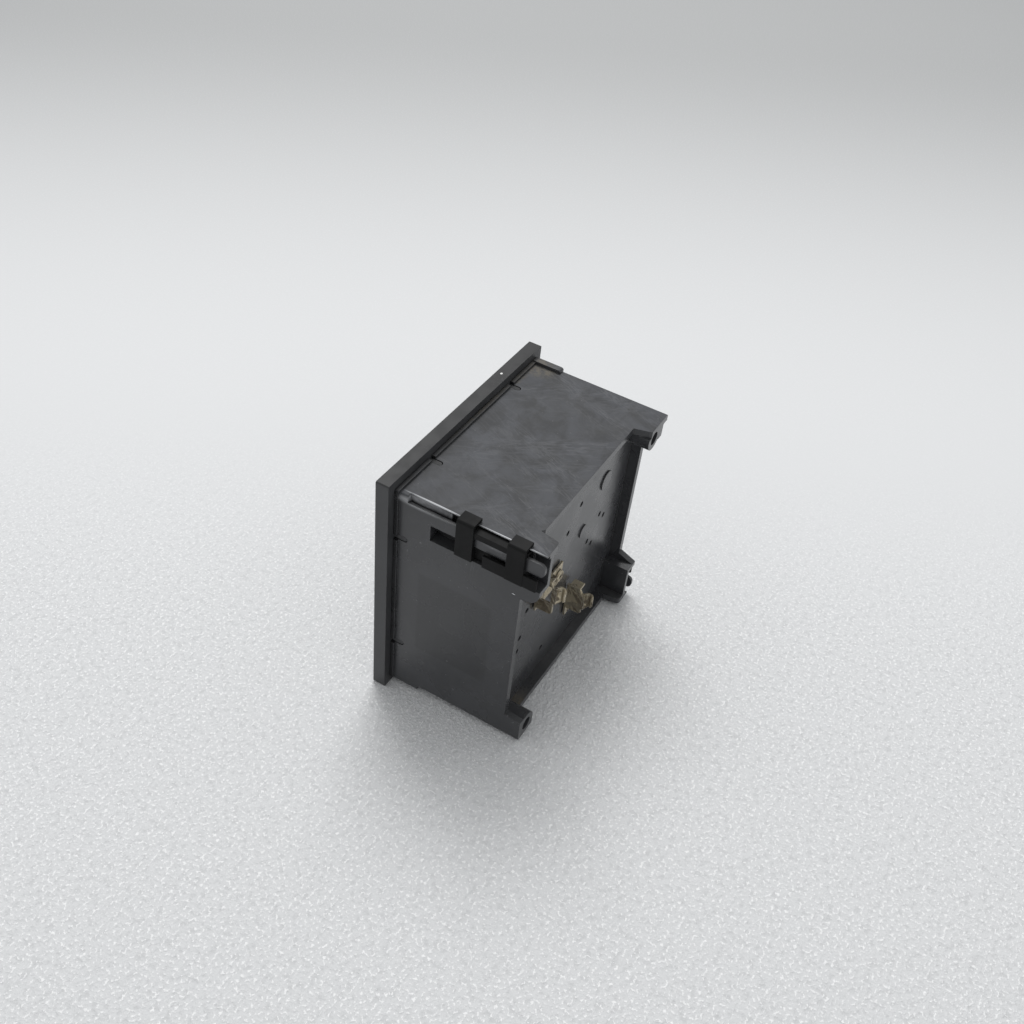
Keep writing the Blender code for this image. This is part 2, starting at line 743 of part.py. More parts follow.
def build_pivot_cover(frame):
    corner = (dial_half, -dial_half)
    outline = [corner] + arc(cover_radius, 90, 180, 24, corner)
    cover = prism(outline, "y", cover_front, cover_front + cover_thickness)
    adjuster_z = pivot_z - adjuster_drop
    cut(cover, rod(adjuster_head + fit_gap, (0, cover_front + 2 * mm), (pivot_x, adjuster_z)))
    leg_top = (cover_front + cover_thickness / 2, dial_front - fit_gap)
    for x, z in cover_leg_spots:
        join(cover, rod(cover_leg, leg_top, (pivot_x + x * mm, pivot_z + z * mm), 16))
    finished(cover, "pivot_cover", frame, matt_black, 0.5)


def build_movement_frame(frame):
    low_x = pivot_x - frame_reach
    high_x = inner_half - frame_edge_gap
    low_z = -high_x
    high_z = pivot_z + frame_reach
    corner = frame_corner
    outline = arc(corner, 0, 90, 4, (high_x - corner, high_z - corner))
    outline += arc(corner, 90, 180, 4, (low_x + corner, high_z - corner))
    outline += arc(corner, 180, 270, 4, (low_x + corner, low_z + corner))
    outline += arc(corner, 270, 360, 4, (high_x - corner, low_z + corner))
    plate = prism(outline, "y", frame_face, frame_rear)
    depths = (frame_face - over, frame_rear + over)
    for pillar in pillar_spots():
        join(plate, rod(pillar_radius, (bridge_rear + fit_gap, frame_rear - over / 2), pillar, 20))
        cut(plate, rod(screw_hole, (bridge_rear, bridge_rear + 8 * mm), pillar, 12))
    cut(plate, rod(rear_bearing_radius + fit_gap, depths, (pivot_x, pivot_z), 20))
    for screw in frame_screw_spots():
        cut(plate, rod(screw_hole, depths, screw, 16))
    for lead in lead_spots():
        cut(plate, rod(lead_radius + 3 * fit_gap, depths, lead, 12))
    finished(plate, "movement_frame", frame, (0.42, 0.42, 0.43), 0.5, 0.9)
    for name, screw_spot in zip(("frame_screw_upper", "frame_screw_lower"), frame_screw_spots()):
        front = frame_face - fit_gap - screw_head_height
        finished(slotted_screw(front, frame_screw_length, screw_spot), name, frame, steel, 0.35, 1.0)


def build_bridge(frame):
    (high_x, high_z), (low_x, low_z) = pillar_spots()
    half = bridge_width / 2
    upper = [(high_x + x, high_z + z) for x, z in arc(half, -45, 135, 8)]
    lower = [(low_x + x, low_z + z) for x, z in arc(half, 135, 315, 8)]
    bridge = prism(upper + lower, "y", bridge_front, bridge_rear)
    depths = (bridge_front - over, bridge_rear + over)
    cut(bridge, rod(front_bearing_radius + fit_gap, depths, (pivot_x, pivot_z), 20))
    for pillar in pillar_spots():
        cut(bridge, rod(screw_hole, depths, pillar, 16))
    finished(bridge, "front_bridge", frame, brass, 0.35, 1.0)
    for name, pillar in zip(("bridge_screw_upper", "bridge_screw_lower"), pillar_spots()):
        front = bridge_front - fit_gap - screw_head_height
        finished(slotted_screw(front, bridge_screw_length, pillar), name, frame, steel, 0.35, 1.0)


def build_bearings(frame):
    front = bridge_front - fit_gap - screw_head_height
    flange = 2.2 * mm
    rear = spindle_front - fit_gap
    cone = 0.6 * mm
    flange_rear = bridge_front - fit_gap
    profile = [(0, front), (flange, front), (flange, flange_rear), (front_bearing_radius, flange_rear),
               (front_bearing_radius, rear), (cone, rear), (0, rear - cone / 2)]
    bearing = turned(profile, 24)
    slot = block((-flange - over, flange + over), (front - over, front + 0.3 * mm),
                 (-screw_slot / 2, screw_slot / 2))
    cut(bearing, slot)
    finished(shift(bearing, pivot_x, 0, pivot_z), "front_bearing", frame, brass, 0.3, 1.0)
    start = spindle_rear + fit_gap
    nut_front = frame_rear + fit_gap
    nut_rear = nut_front + 1.2 * mm
    profile = [(0, start + cone / 2), (cone, start), (rear_bearing_radius, start),
               (rear_bearing_radius, nut_front), (2.8 * mm, nut_front), (2.8 * mm, nut_rear), (0, nut_rear)]
    bearing = turned(profile, 24)
    finished(shift(bearing, pivot_x, 0, pivot_z), "rear_bearing", frame, brass, 0.3, 1.0)


def build_zero_adjuster(axis):
    # The eccentric pin points down at the middle of the range
    collar = adjuster_shaft + 0.7 * mm
    collar_rear_y = glass_rear + fit_gap + 1.1 * mm
    edge = 0.3 * mm
    front = glass_front - fit_gap - 1.1 * mm
    profile = [(0, front), (adjuster_head - edge, front), (adjuster_head, front + edge),
               (adjuster_head, glass_front - fit_gap), (adjuster_shaft, glass_front - fit_gap),
               (adjuster_shaft, glass_rear + fit_gap), (collar, glass_rear + fit_gap),
               (collar, collar_rear_y), (0, collar_rear_y)]
    body = turned(profile, 28)
    slot = block((-adjuster_head - over, adjuster_head + over), (front - over, front + 0.6 * mm),
                 (-0.5 * mm, 0.5 * mm))
    cut(body, turn_about_depth(slot, 90))
    pin_end = lever_front + lever_thickness + fit_gap
    join(body, rod(eccentric_pin, (collar_rear_y - over / 2, pin_end), (0, -eccentric), 12))
    finished(body, "zero_adjuster", axis, matt_black, 0.5)


def build_zero_lever(axis):
    pin = adjuster_drop + eccentric
    fork = eccentric_pin + fit_gap
    ring = prism(circle(3 * mm, 28), "y", lever_front, lever_front + lever_thickness)
    depths = (lever_front, lever_front + lever_thickness)
    arm = block((-2 * mm, 2 * mm), depths, (-pin - 1.6 * mm, -2 * mm))
    finger = block((-0.7 * mm, 0.7 * mm), depths, (2 * mm, 6.4 * mm))
    post = rod(0.5 * mm, (lever_front, hairspring_face + hairspring_height), (0, 5.9 * mm), 10)
    join(ring, arm, finger, post)
    cut(ring, rod(front_bearing_radius + fit_gap, (lever_front - over, lever_front + over), (0, 0), 20))
    cut(ring, block((-fork, fork), (lever_front - over, lever_front + over), (-pin - 3 * mm, -pin + 1.7 * mm)))
    finished(ring, "zero_lever", axis, brass, 0.35, 1.0)


def build_spindle(axis):
    cone = 0.4 * mm
    profile = [(0, spindle_front), (spindle_radius, spindle_front + cone),
               (spindle_radius, spindle_rear - cone), (0, spindle_rear)]
    finished(turned(profile, 16), "spindle", axis, steel, 0.25, 1.0)


def hub(outer, depths):
    return cut(rod(outer, depths, (0, 0), 20), rod(hub_bore, (depths[0] - over, depths[1] + over), (0, 0), 16))


def build_pointer(axis):
    # At rest the pointer lies to the left, at the zero of the scale
    face = pointer_face
    rear = face + pointer_thickness
    tip_start = pointer_tip_length - pointer_length
    upper = [(-pointer_hub + 0.5 * mm, 1.0 * mm), (tip_start + 3 * mm, 0.6 * mm), (tip_start, 1.4 * mm),
             (-pointer_length, 0.12 * mm)]
    outline = upper + [(x, -z) for x, z in reversed(upper)]
    body = rod(pointer_hub, (face - 0.3 * mm, rear + 0.3 * mm), (0, 0), 20)
    join(body, prism(outline, "y", face, rear))
    join(body, block((pointer_hub - 0.5 * mm, tail_length), (face, rear), (-0.5 * mm, 0.5 * mm)))
    join(body, block((-0.5 * mm, 0.5 * mm), (face, rear), (-side_arm_length, 0.5 * mm - pointer_hub)))
    cut(body, rod(hub_bore, (face - over, rear + over), (0, 0), 16))
    finished(body, "pointer", axis, (0.02, 0.02, 0.02), 0.45)
    ring = [(0.86 * mm, -1.1 * mm), (1.5 * mm, -1.1 * mm), (1.5 * mm, 1.1 * mm), (0.86 * mm, 1.1 * mm)]
    middle = face + pointer_thickness / 2
    for name, place, turn in (("balance_weight_tail", (tail_weight_place, middle, 0), 90),
                              ("balance_weight_side", (0, middle, -side_weight_place), 0)):
        weight = turned(ring, 16)
        upright = Matrix.Rotation(math.radians(90), 4, "X" if turn == 0 else "Z")
        weight.data.transform(Matrix.Translation(place) @ upright)
        finished(weight, name, axis, brass, 0.3, 1.0)


def build_hairspring(axis):
    steps = hairspring_steps * hairspring_turns
    start = 1.5 * mm
    points = []
    for i in range(steps + 1):
        angle = math.radians(90) + math.tau * (i - steps) / hairspring_steps
        radius = start + hairspring_pitch * i / hairspring_steps
        points.append((radius * math.cos(angle), radius * math.sin(angle)))
    depths = (hairspring_face, hairspring_face + hairspring_height)
    spring = prism(ribbon(points, hairspring_strip), "y", *depths)
    join(spring, rod(start + hairspring_strip / 2, depths, (0, 0), 20))
    cut(spring, rod(hub_bore, (depths[0] - over, depths[1] + over), (0, 0), 16))
    finished(spring, "hairspring", axis, (0.75, 0.5, 0.3), 0.3, 1.0)


def arc_sheet(outer, thickness, start, end, depths, steps):
    outline = arc(outer, start, end, steps) + arc(outer - thickness, end, start, steps)
    return prism(outline, "y", *depths)


def build_vanes(frame, axis):
    moving = hub(1.5 * mm, (bobbin_front + 2.5 * mm, bobbin_rear - 2.5 * mm))
    depths = (bobbin_front + 2.5 * mm, bobbin_rear - 2.5 * mm)
    join(moving, block((-moving_vane_outer + 0.2 * mm, -1.2 * mm), depths, (-0.2 * mm, 0.2 * mm)))
    join(moving, arc_sheet(moving_vane_outer, vane_thickness, 150, 210, depths, 8))
    finished(moving, "moving_vane", axis, steel, 0.4, 1.0)
    fixed = arc_sheet(fixed_vane_outer, vane_thickness, 60, 190,
                      (bobbin_front + 0.8 * mm, bobbin_rear - 0.8 * mm), 14)
    finished(shift(fixed, pivot_x, 0, pivot_z), "fixed_vane", frame, steel, 0.4, 1.0)
    paddle_depths = (damper_front + fit_gap, damper_floor - fit_gap)
    paddle = hub(1.5 * mm, paddle_depths)
    middle = (paddle_depths[0] + paddle_depths[1]) / 2
    join(paddle, block((-damper_inner - over, -1.2 * mm), (middle - 0.5 * mm, middle + 0.5 * mm),
                       (-0.2 * mm, 0.2 * mm)))
    join(paddle, block((-damper_outer + 2 * fit_gap, -damper_inner), paddle_depths, (-0.2 * mm, 0.2 * mm)))
    finished(paddle, "damping_vane", axis, aluminium, 0.4, 1.0)


def sector(outer, inner, margin, depths):
    start = 135 - damper_sweep / 2 + margin
    end = 135 + damper_sweep / 2 - margin
    return prism(arc(outer, start, end, 24) + arc(inner, end, start, 24), "y", *depths)


def build_damper(frame):
    # The chamber is a curved trough, open to the front and towards the axis
    outer = damper_outer + damper_wall
    chamber = sector(outer, damper_inner, 0, (damper_front, damper_floor + damper_floor_thickness))
    cut(chamber, sector(damper_outer, damper_inner - over, 3.2, (damper_front - over, damper_floor)))
    finished(shift(chamber, pivot_x, 0, pivot_z), "damping_chamber", frame, aluminium, 0.45, 1.0)
    cover = sector(outer, damper_inner, 0, (damper_cover_front, damper_front - fit_gap))
    finished(shift(cover, pivot_x, 0, pivot_z), "damping_cover", frame, aluminium, 0.4, 1.0)


def build_coil(frame):
    tube = bobbin_bore + bobbin_wall
    front_inner = bobbin_front + flange_thickness
    rear_inner = bobbin_rear - flange_thickness
    profile = [(bobbin_bore, bobbin_front), (flange_radius, bobbin_front), (flange_radius, front_inner),
               (tube, front_inner), (tube, rear_inner), (flange_radius, rear_inner),
               (flange_radius, bobbin_rear), (bobbin_bore, bobbin_rear)]
    bobbin = shift(turned(profile, 32), pivot_x, 0, pivot_z)
    finished(bobbin, "coil_bobbin", frame, (0.75, 0.72, 0.62), 0.5)
    bulge = 0.3 * mm
    front = front_inner + fit_gap
    rear = rear_inner - fit_gap
    rows = 6
    outer = []
    for row in range(rows):
        low = front + (rear - front) * row / rows
        high = front + (rear - front) * (row + 1) / rows
        outer += [(winding_radius - bulge, low), (winding_radius, (low + high) / 2)]
    profile = [(tube + fit_gap, front)] + outer + [(winding_radius - bulge, rear), (tube + fit_gap, rear)]
    winding = shift(turned(profile, 32), pivot_x, 0, pivot_z)
    finished(winding, "coil_winding", frame, copper, 0.35, 1.0)


def lead_spots():
    # Where the two leads pass through the movement frame
    distance = flange_radius + fit_gap * 2 + lead_radius
    turns = (math.radians(120), math.radians(158))
    return [(pivot_x + distance * math.cos(a), pivot_z + distance * math.sin(a)) for a in turns]


def build_leads(frame):
    for start, (place, (x, z), web_low, rivet_x) in zip(lead_spots(), terminal_plans()):
        name = "coil_lead_" + place
        head_front = plate_inner - fit_gap - 1.0 * mm
        end = Vector((rivet_x, head_front - fit_gap, z))
        passage = Vector((start[0], frame_rear, start[1]))
        inward = (Vector((pivot_x, 0, pivot_z)) - Vector((start[0], 0, start[1]))).normalized()
        first = passage + Vector((0, -13 * mm, 0)) + inward * 0.6 * mm
        points = [first, first + Vector((0, 3 * mm, 0)) - inward * 0.6 * mm, passage + Vector((0, -1 * mm, 0))]
        points += bend(passage + Vector((0, 0.5 * mm, 0)), end, Vector((0, 4.5 * mm, 0)))
        curve = bpy.data.curves.new(name, "CURVE")
        curve.dimensions = "3D"
        curve.bevel_depth = lead_radius
        curve.bevel_resolution = 2
        curve.use_fill_caps = True
        line = curve.splines.new("POLY")
        line.points.add(len(points) - 1)
        for node, point in zip(line.points, points):
            node.co = (*point, 1)
        lead = bpy.data.objects.new(name, curve)
        bpy.context.scene.collection.objects.link(lead)
        finished_curve(lead, name, frame)


def bend(start, end, pull, steps=12):
    # Smooth curve that leaves the start and reaches the end in the direction of the pull
    route = []
    for step in range(steps + 1):
        t = step / steps
        along = 3 * t ** 2 - 2 * t ** 3
        route.append(start + (end - start) * along + pull * (2 * t ** 3 - 3 * t ** 2 + t))
    return route


def finished_curve(lead, name, parent):
    lead.parent = parent
    material = bpy.data.materials.new(name)
    material.use_nodes = True
    shader = material.node_tree.nodes["Principled BSDF"]
    shader.inputs["Base Color"].default_value = (*copper, 1)
    shader.inputs["Metallic"].default_value = 1.0
    shader.inputs["Roughness"].default_value = 0.35
    lead.data.materials.append(material)


def build_terminals(frame):
    flange_front = terminal_rear + terminal_flange_behind
    flange_rear = flange_front + terminal_flange_length
    window_depths = (terminal_rear + terminal_window_behind, terminal_web_rear - terminal_window_rim)
    for place, (x, z), web_low, rivet_x in terminal_plans():
        foot = block((rivet_x - terminal_foot_beyond, x), (terminal_front, terminal_rear),
                     (z - terminal_foot_half, z + terminal_foot_half))
        low = z + web_low
        high = z + terminal_web_high
        curl_low = z + terminal_curl_low
        curl_high = z + terminal_curl_high
        start = terminal_front + 0.1 * mm
        web = [(start, low), (terminal_web_rear - 0.8 * mm, low), (terminal_web_rear, low + 0.8 * mm),
               (terminal_web_rear, curl_high - 1.0 * mm), (flange_rear, high), (start, high)]
        web_solid = prism(web, "x", x - terminal_strip, x)
        flange = block((x - terminal_flange, x - terminal_strip / 2), (flange_front, flange_rear),
                       (high - terminal_strip, high - 0.05 * mm))
        # The strip turns away from the web and comes back in a half round, open to the side
        curl_x = x - terminal_strip / 2
        curl_y = terminal_web_rear + terminal_strip / 2 + terminal_curl
        curl = [(curl_x, terminal_web_rear - 0.4 * mm)] + arc(terminal_curl, -90, -270, 10, (curl_x, curl_y))
        curl_solid = prism(ribbon(curl, terminal_strip - 0.1 * mm), "z", curl_low, curl_high)
        slope = [(terminal_web_rear, curl_low - over), (curl_y + 3 * mm, curl_low - over),
                 (curl_y + 3 * mm, curl_low + 4.2 * mm)]
        cut(curl_solid, prism(slope, "x", x - 5 * mm, x + 3 * mm))
        join(foot, web_solid, flange, curl_solid)
        if place == "near":
            window_low = z + terminal_window_low
            cut(foot, block((x - terminal_strip - 0.3 * mm, x + over), window_depths,
                            (window_low, window_low + terminal_window_height)))
        cut(foot, rod(rivet_radius + fit_gap, (terminal_front - over, terminal_rear + over), (rivet_x, z), 20))
        finished(foot, "terminal_" + place, frame, tinned_brass, 0.4, 1.0)
        head_front = plate_inner - fit_gap - 1.0 * mm
        head_rear = terminal_rear + fit_gap + 0.7 * mm
        bore = 0.9 * mm
        profile = [(0, head_front), (rivet_head, head_front), (rivet_head, plate_inner - fit_gap),
                   (rivet_radius, plate_inner - fit_gap), (rivet_radius, terminal_rear + fit_gap),
                   (rivet_head, terminal_rear + fit_gap), (rivet_head - 0.3 * mm, head_rear), (bore, head_rear),
                   (bore, head_rear - 2.4 * mm), (0, head_rear - 2.4 * mm)]
        rivet = shift(turned(profile, 20), rivet_x, 0, z)
        finished(rivet, "terminal_rivet_" + place, frame, tinned_brass, 0.4, 1.0)


def main():
    for thing in list(bpy.data.objects):
        bpy.data.objects.remove(thing, do_unlink=True)
    frame = axis_empty("meter_centre", None, (0, -overall_depth / 2, bezel_half))
    spindle_axis = axis_empty("spindle_axis", frame, (pivot_x, 0, pivot_z))
    adjuster_axis = axis_empty("adjuster_axis", frame, (pivot_x, 0, pivot_z - adjuster_drop))
    build_bezel(frame)
    build_window(frame)
    build_case(frame)
    build_clamp(frame, "clamp_upper", 1)
    build_clamp(frame, "clamp_lower", -1)
    build_terminals(frame)
    build_dial(frame)
    build_pivot_cover(frame)
    build_movement_frame(frame)
    build_bridge(frame)
    build_bearings(frame)
    build_zero_adjuster(adjuster_axis)
    build_zero_lever(spindle_axis)
    build_spindle(spindle_axis)
    build_pointer(spindle_axis)
    build_hairspring(spindle_axis)
    build_vanes(frame, spindle_axis)
    build_damper(frame)
    build_coil(frame)
    build_leads(frame)


main()
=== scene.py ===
import math

import bmesh
import bpy
from mathutils import Matrix, Vector


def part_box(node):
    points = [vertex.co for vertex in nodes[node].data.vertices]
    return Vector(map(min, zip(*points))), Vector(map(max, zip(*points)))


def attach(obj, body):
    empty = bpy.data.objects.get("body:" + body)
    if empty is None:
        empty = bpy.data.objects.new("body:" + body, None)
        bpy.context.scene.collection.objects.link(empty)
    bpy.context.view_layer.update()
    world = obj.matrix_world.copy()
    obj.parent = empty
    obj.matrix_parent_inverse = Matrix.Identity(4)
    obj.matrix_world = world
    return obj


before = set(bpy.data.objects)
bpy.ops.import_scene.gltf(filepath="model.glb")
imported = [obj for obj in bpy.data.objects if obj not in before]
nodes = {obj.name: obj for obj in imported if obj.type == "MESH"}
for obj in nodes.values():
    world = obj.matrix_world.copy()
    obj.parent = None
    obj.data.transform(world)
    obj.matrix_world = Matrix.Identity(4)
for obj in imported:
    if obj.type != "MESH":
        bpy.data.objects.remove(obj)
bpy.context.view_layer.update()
bezelLow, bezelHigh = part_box("bezel")
print("loaded", len(nodes), "nodes")

# the meter's own front face and centre, for places given in millimetres from them
mm = 0.001
frontY = bezelLow.y
centreZ = (bezelLow.z + bezelHigh.z) / 2


def place(x, y, z):
    return Vector((x * mm, frontY + y * mm, centreZ + z * mm))


# helpers that build shader nodes
def addNode(tree, kind, **settings):
    node = tree.nodes.new("ShaderNode" + kind)
    for key, value in settings.items():
        setattr(node, key, value)
    return node


def link(tree, source, target):
    tree.links.new(source, target)


def feed(tree, socket, value):
    # a plain number or colour is set on the socket, anything else is linked to it
    if isinstance(value, (int, float)):
        socket.default_value = value
    elif isinstance(value, tuple):
        socket.default_value = (*value, 1.0)
    else:
        link(tree, value, socket)


def mathNode(tree, operation, first, second=None, clamp=False):
    node = addNode(tree, "Math", operation=operation, use_clamp=clamp)
    feed(tree, node.inputs[0], first)
    if second is not None:
        feed(tree, node.inputs[1], second)
    return node.outputs[0]


def times(tree, *values):
    # product of several masks
    total = values[0]
    for value in values[1:]:
        total = mathNode(tree, "MULTIPLY", total, value)
    return total


def brightest(tree, masks):
    total = masks[0]
    for mask in masks[1:]:
        total = mathNode(tree, "MAXIMUM", total, mask)
    return total


def fade(tree, value, low, high, start=0.0, end=1.0):
    # smooth change from start to end while the value goes from low to high
    node = addNode(tree, "MapRange", interpolation_type="SMOOTHSTEP")
    link(tree, value, node.inputs["Value"])
    for name, level in (("From Min", low), ("From Max", high), ("To Min", start), ("To Max", end)):
        feed(tree, node.inputs[name], level)
    return node.outputs["Result"]


def noise(tree, vector, scale, detail=4.0, roughness=0.55, distortion=0.0):
    node = addNode(tree, "TexNoise")
    link(tree, vector, node.inputs["Vector"])
    levels = {"Scale": scale, "Detail": detail, "Roughness": roughness, "Distortion": distortion}
    for name, level in levels.items():
        feed(tree, node.inputs[name], level)
    return node.outputs["Fac"]


def stretched(tree, vector, longer, turn=(0, 0, 0)):
    # the pattern is drawn out by these factors along axes turned by these angles
    node = addNode(tree, "Mapping", vector_type="TEXTURE")
    link(tree, vector, node.inputs["Vector"])
    node.inputs["Rotation"].default_value = [math.radians(angle) for angle in turn]
    node.inputs["Scale"].default_value = longer
    return node.outputs["Vector"]


def mixColour(tree, factor, first, second):
    node = addNode(tree, "Mix", data_type="RGBA")
    sockets = [socket for socket in node.inputs if socket.enabled]
    for socket, value in zip(sockets, (factor, first, second)):
        feed(tree, socket, value)
    return [socket for socket in node.outputs if socket.enabled][0]


def coat(tree, colour, mask, amount, coatColour):
    # lay a colour over the one below where the mask is, at this share
    return mixColour(tree, mathNode(tree, "MULTIPLY", mask, amount), colour, coatColour)


def mottled(tree, mask, colour, darker, lighter):
    # one colour, uneven: darker where the mask is 0 and lighter where it is 1
    dark = tuple(c * darker for c in colour)
    light = tuple(min(1.0, c * lighter) for c in colour)
    return mixColour(tree, mask, dark, light)


def newGroup(name, inputs, outputs):
    tree = bpy.data.node_groups.new(name, "ShaderNodeTree")
    for label, kind, default in inputs:
        socket = tree.interface.new_socket(name=label, in_out="INPUT", socket_type="NodeSocket" + kind)
        if default is not None:
            socket.default_value = default
    for label, kind in outputs:
        tree.interface.new_socket(name=label, in_out="OUTPUT", socket_type="NodeSocket" + kind)
    return tree, tree.nodes.new("NodeGroupInput").outputs, tree.nodes.new("NodeGroupOutput").inputs


def parts(tree, vector):
    split = addNode(tree, "SeparateXYZ")
    link(tree, vector, split.inputs[0])
    return split.outputs["X"], split.outputs["Y"], split.outputs["Z"]


def facingUp(tree):
    return parts(tree, addNode(tree, "NewGeometry").outputs["Normal"])[2]


# effects that several finishes share, each a node group that gives a mask; reaches in metres
edgeWearAndHighlightReach = 0.00035
creviceReach = 0.0016


def dustGroup():
    # dust settles on what faces up, thicker in patches
    tree, given, out = newGroup("settledDust", [("Vector", "Vector", None), ("Patch Scale", "Float", 40.0),
                                                ("Grain Scale", "Float", 900.0)], [("Mask", "Float")])
    facing = facingUp(tree)
    patches = noise(tree, given["Vector"], given["Patch Scale"], 5.0, 0.6, 0.4)
    grain = noise(tree, given["Vector"], given["Grain Scale"], 2.0, 0.6)
    cover = times(tree, fade(tree, patches, 0.3, 0.72), fade(tree, grain, 0.3, 0.75, 0.45, 1.0),
                  fade(tree, facing, 0.15, 0.9))
    link(tree, cover, out["Mask"])
    return tree


def scratchGroup():
    # thin lines in one direction, in patches
    tree, given, out = newGroup("fineScratches", [("Vector", "Vector", None), ("Lines", "Float", 60.0),
                                                  ("Patches", "Float", 30.0), ("Amount", "Float", 0.5),
                                                  ("Width", "Float", 0.012), ("Waviness", "Float", 0.0)],
                                [("Mask", "Float")])
    lines = noise(tree, given["Vector"], given["Lines"], 3.0, 0.65, given["Waviness"])
    thin = mathNode(tree, "ABSOLUTE", mathNode(tree, "SUBTRACT", lines, 0.5))
    sharp = fade(tree, thin, 0.0, given["Width"], 1.0, 0.0)
    patches = noise(tree, given["Vector"], given["Patches"], 2.0, 0.5)
    start = mathNode(tree, "SUBTRACT", 0.75, mathNode(tree, "MULTIPLY", given["Amount"], 0.4))
    link(tree, times(tree, sharp, fade(tree, patches, start, 0.8)), out["Mask"])
    return tree


def edgeGroup():
    # sharp edges get rubbed wear and a painted highlight: there a rounded normal departs from the flat one
    tree, given, out = newGroup("rubbedAndHighlitEdges", [("Vector", "Vector", None), ("Breakup", "Float", 300.0)],
                                [("Mask", "Float")])
    rounded = addNode(tree, "Bevel", samples=4)
    rounded.inputs["Radius"].default_value = edgeWearAndHighlightReach
    compare = addNode(tree, "VectorMath", operation="DOT_PRODUCT")
    link(tree, rounded.outputs[0], compare.inputs[0])
    link(tree, addNode(tree, "NewGeometry").outputs["Normal"], compare.inputs[1])
    edge = fade(tree, compare.outputs["Value"], 0.8, 0.98, 1.0, 0.0)
    broken = fade(tree, noise(tree, given["Vector"], given["Breakup"], 4.0, 0.7), 0.38, 0.62, 0.15, 1.0)
    link(tree, times(tree, edge, broken), out["Mask"])
    return tree


def patchGroup():
    # a soft-edged patch round one place
    tree, given, out = newGroup("softPatch", [("Vector", "Vector", None),
                                              ("Centre", "Vector", (0.0, 0.0, 0.0)),
                                              ("Reach", "Vector", (1.0, 1.0, 1.0))], [("Mask", "Float")])
    offset = addNode(tree, "VectorMath", operation="SUBTRACT")
    link(tree, given["Vector"], offset.inputs[0])
    link(tree, given["Centre"], offset.inputs[1])
    share = addNode(tree, "VectorMath", operation="DIVIDE")
    link(tree, offset.outputs[0], share.inputs[0])
    link(tree, given["Reach"], share.inputs[1])
    distance = addNode(tree, "VectorMath", operation="LENGTH")
    link(tree, share.outputs[0], distance.inputs[0])
    link(tree, fade(tree, distance.outputs["Value"], 0.35, 1.0, 1.0, 0.0), out["Mask"])
    return tree


def creviceGroup():
    # dirt and painted shade where two faces meet inwards
    tree, given, out = newGroup("darkCrevices", [("Vector", "Vector", None), ("Breakup", "Float", 400.0)],
                                [("Mask", "Float")])
    near = addNode(tree, "AmbientOcclusion", samples=6)
    near.inputs["Distance"].default_value = creviceReach
    broken = fade(tree, noise(tree, given["Vector"], given["Breakup"], 3.0, 0.6), 0.3, 0.7, 0.6, 1.0)
    link(tree, times(tree, fade(tree, near.outputs["AO"], 0.25, 0.85, 1.0, 0.0), broken), out["Mask"])
    return tree


dust = dustGroup()
scratches = scratchGroup()
edges = edgeGroup()
patch = patchGroup()
crevices = creviceGroup()


def useGroup(tree, group, vector, values=None):
    node = tree.nodes.new("ShaderNodeGroup")
    node.node_tree = group
    link(tree, vector, node.inputs["Vector"])
    for name, value in (values or {}).items():
        node.inputs[name].default_value = value
    return node.outputs["Mask"]


def spotMask(tree, vector, spot):
    centre, reach = spot
    return useGroup(tree, patch, vector, {"Centre": place(*centre), "Reach": [size * mm for size in reach]})


def scratchMask(tree, vector, lines, patches, amount, width=0.012, waviness=0.0):
    # lines and patches are scales, so a higher number gives finer ones
    return useGroup(tree, scratches, vector, {"Lines": lines, "Patches": patches, "Amount": amount,
                                              "Width": width, "Waviness": waviness})


def newMaterial(name, colour, roughness, metallic=0.0, specular=0.5):
    material = bpy.data.materials.new(name)
    material.use_nodes = True
    tree = material.node_tree
    shader = tree.nodes["Principled BSDF"]
    shader.inputs["Base Color"].default_value = (*colour, 1.0)
    shader.inputs["Roughness"].default_value = roughness
    shader.inputs["Metallic"].default_value = metallic
    shader.inputs["Specular IOR Level"].default_value = specular
    vector = addNode(tree, "TexCoord").outputs["Object"]
    return material, tree, shader, vector


def addBump(tree, shader, height, strength, distance, rounding=0.0):
    # rounding softens the look of the sharp edges, in metres
    bump = addNode(tree, "Bump")
    if rounding:
        rounded = addNode(tree, "Bevel", samples=4)
        rounded.inputs["Radius"].default_value = rounding
        link(tree, rounded.outputs[0], bump.inputs["Normal"])
    bump.inputs["Strength"].default_value = strength
    bump.inputs["Distance"].default_value = distance
    link(tree, height, bump.inputs["Height"])
    link(tree, bump.outputs["Normal"], shader.inputs["Normal"])


def dress(material, *names):
    for name in names:
        for slot in nodes[name].material_slots:
            slot.material = material


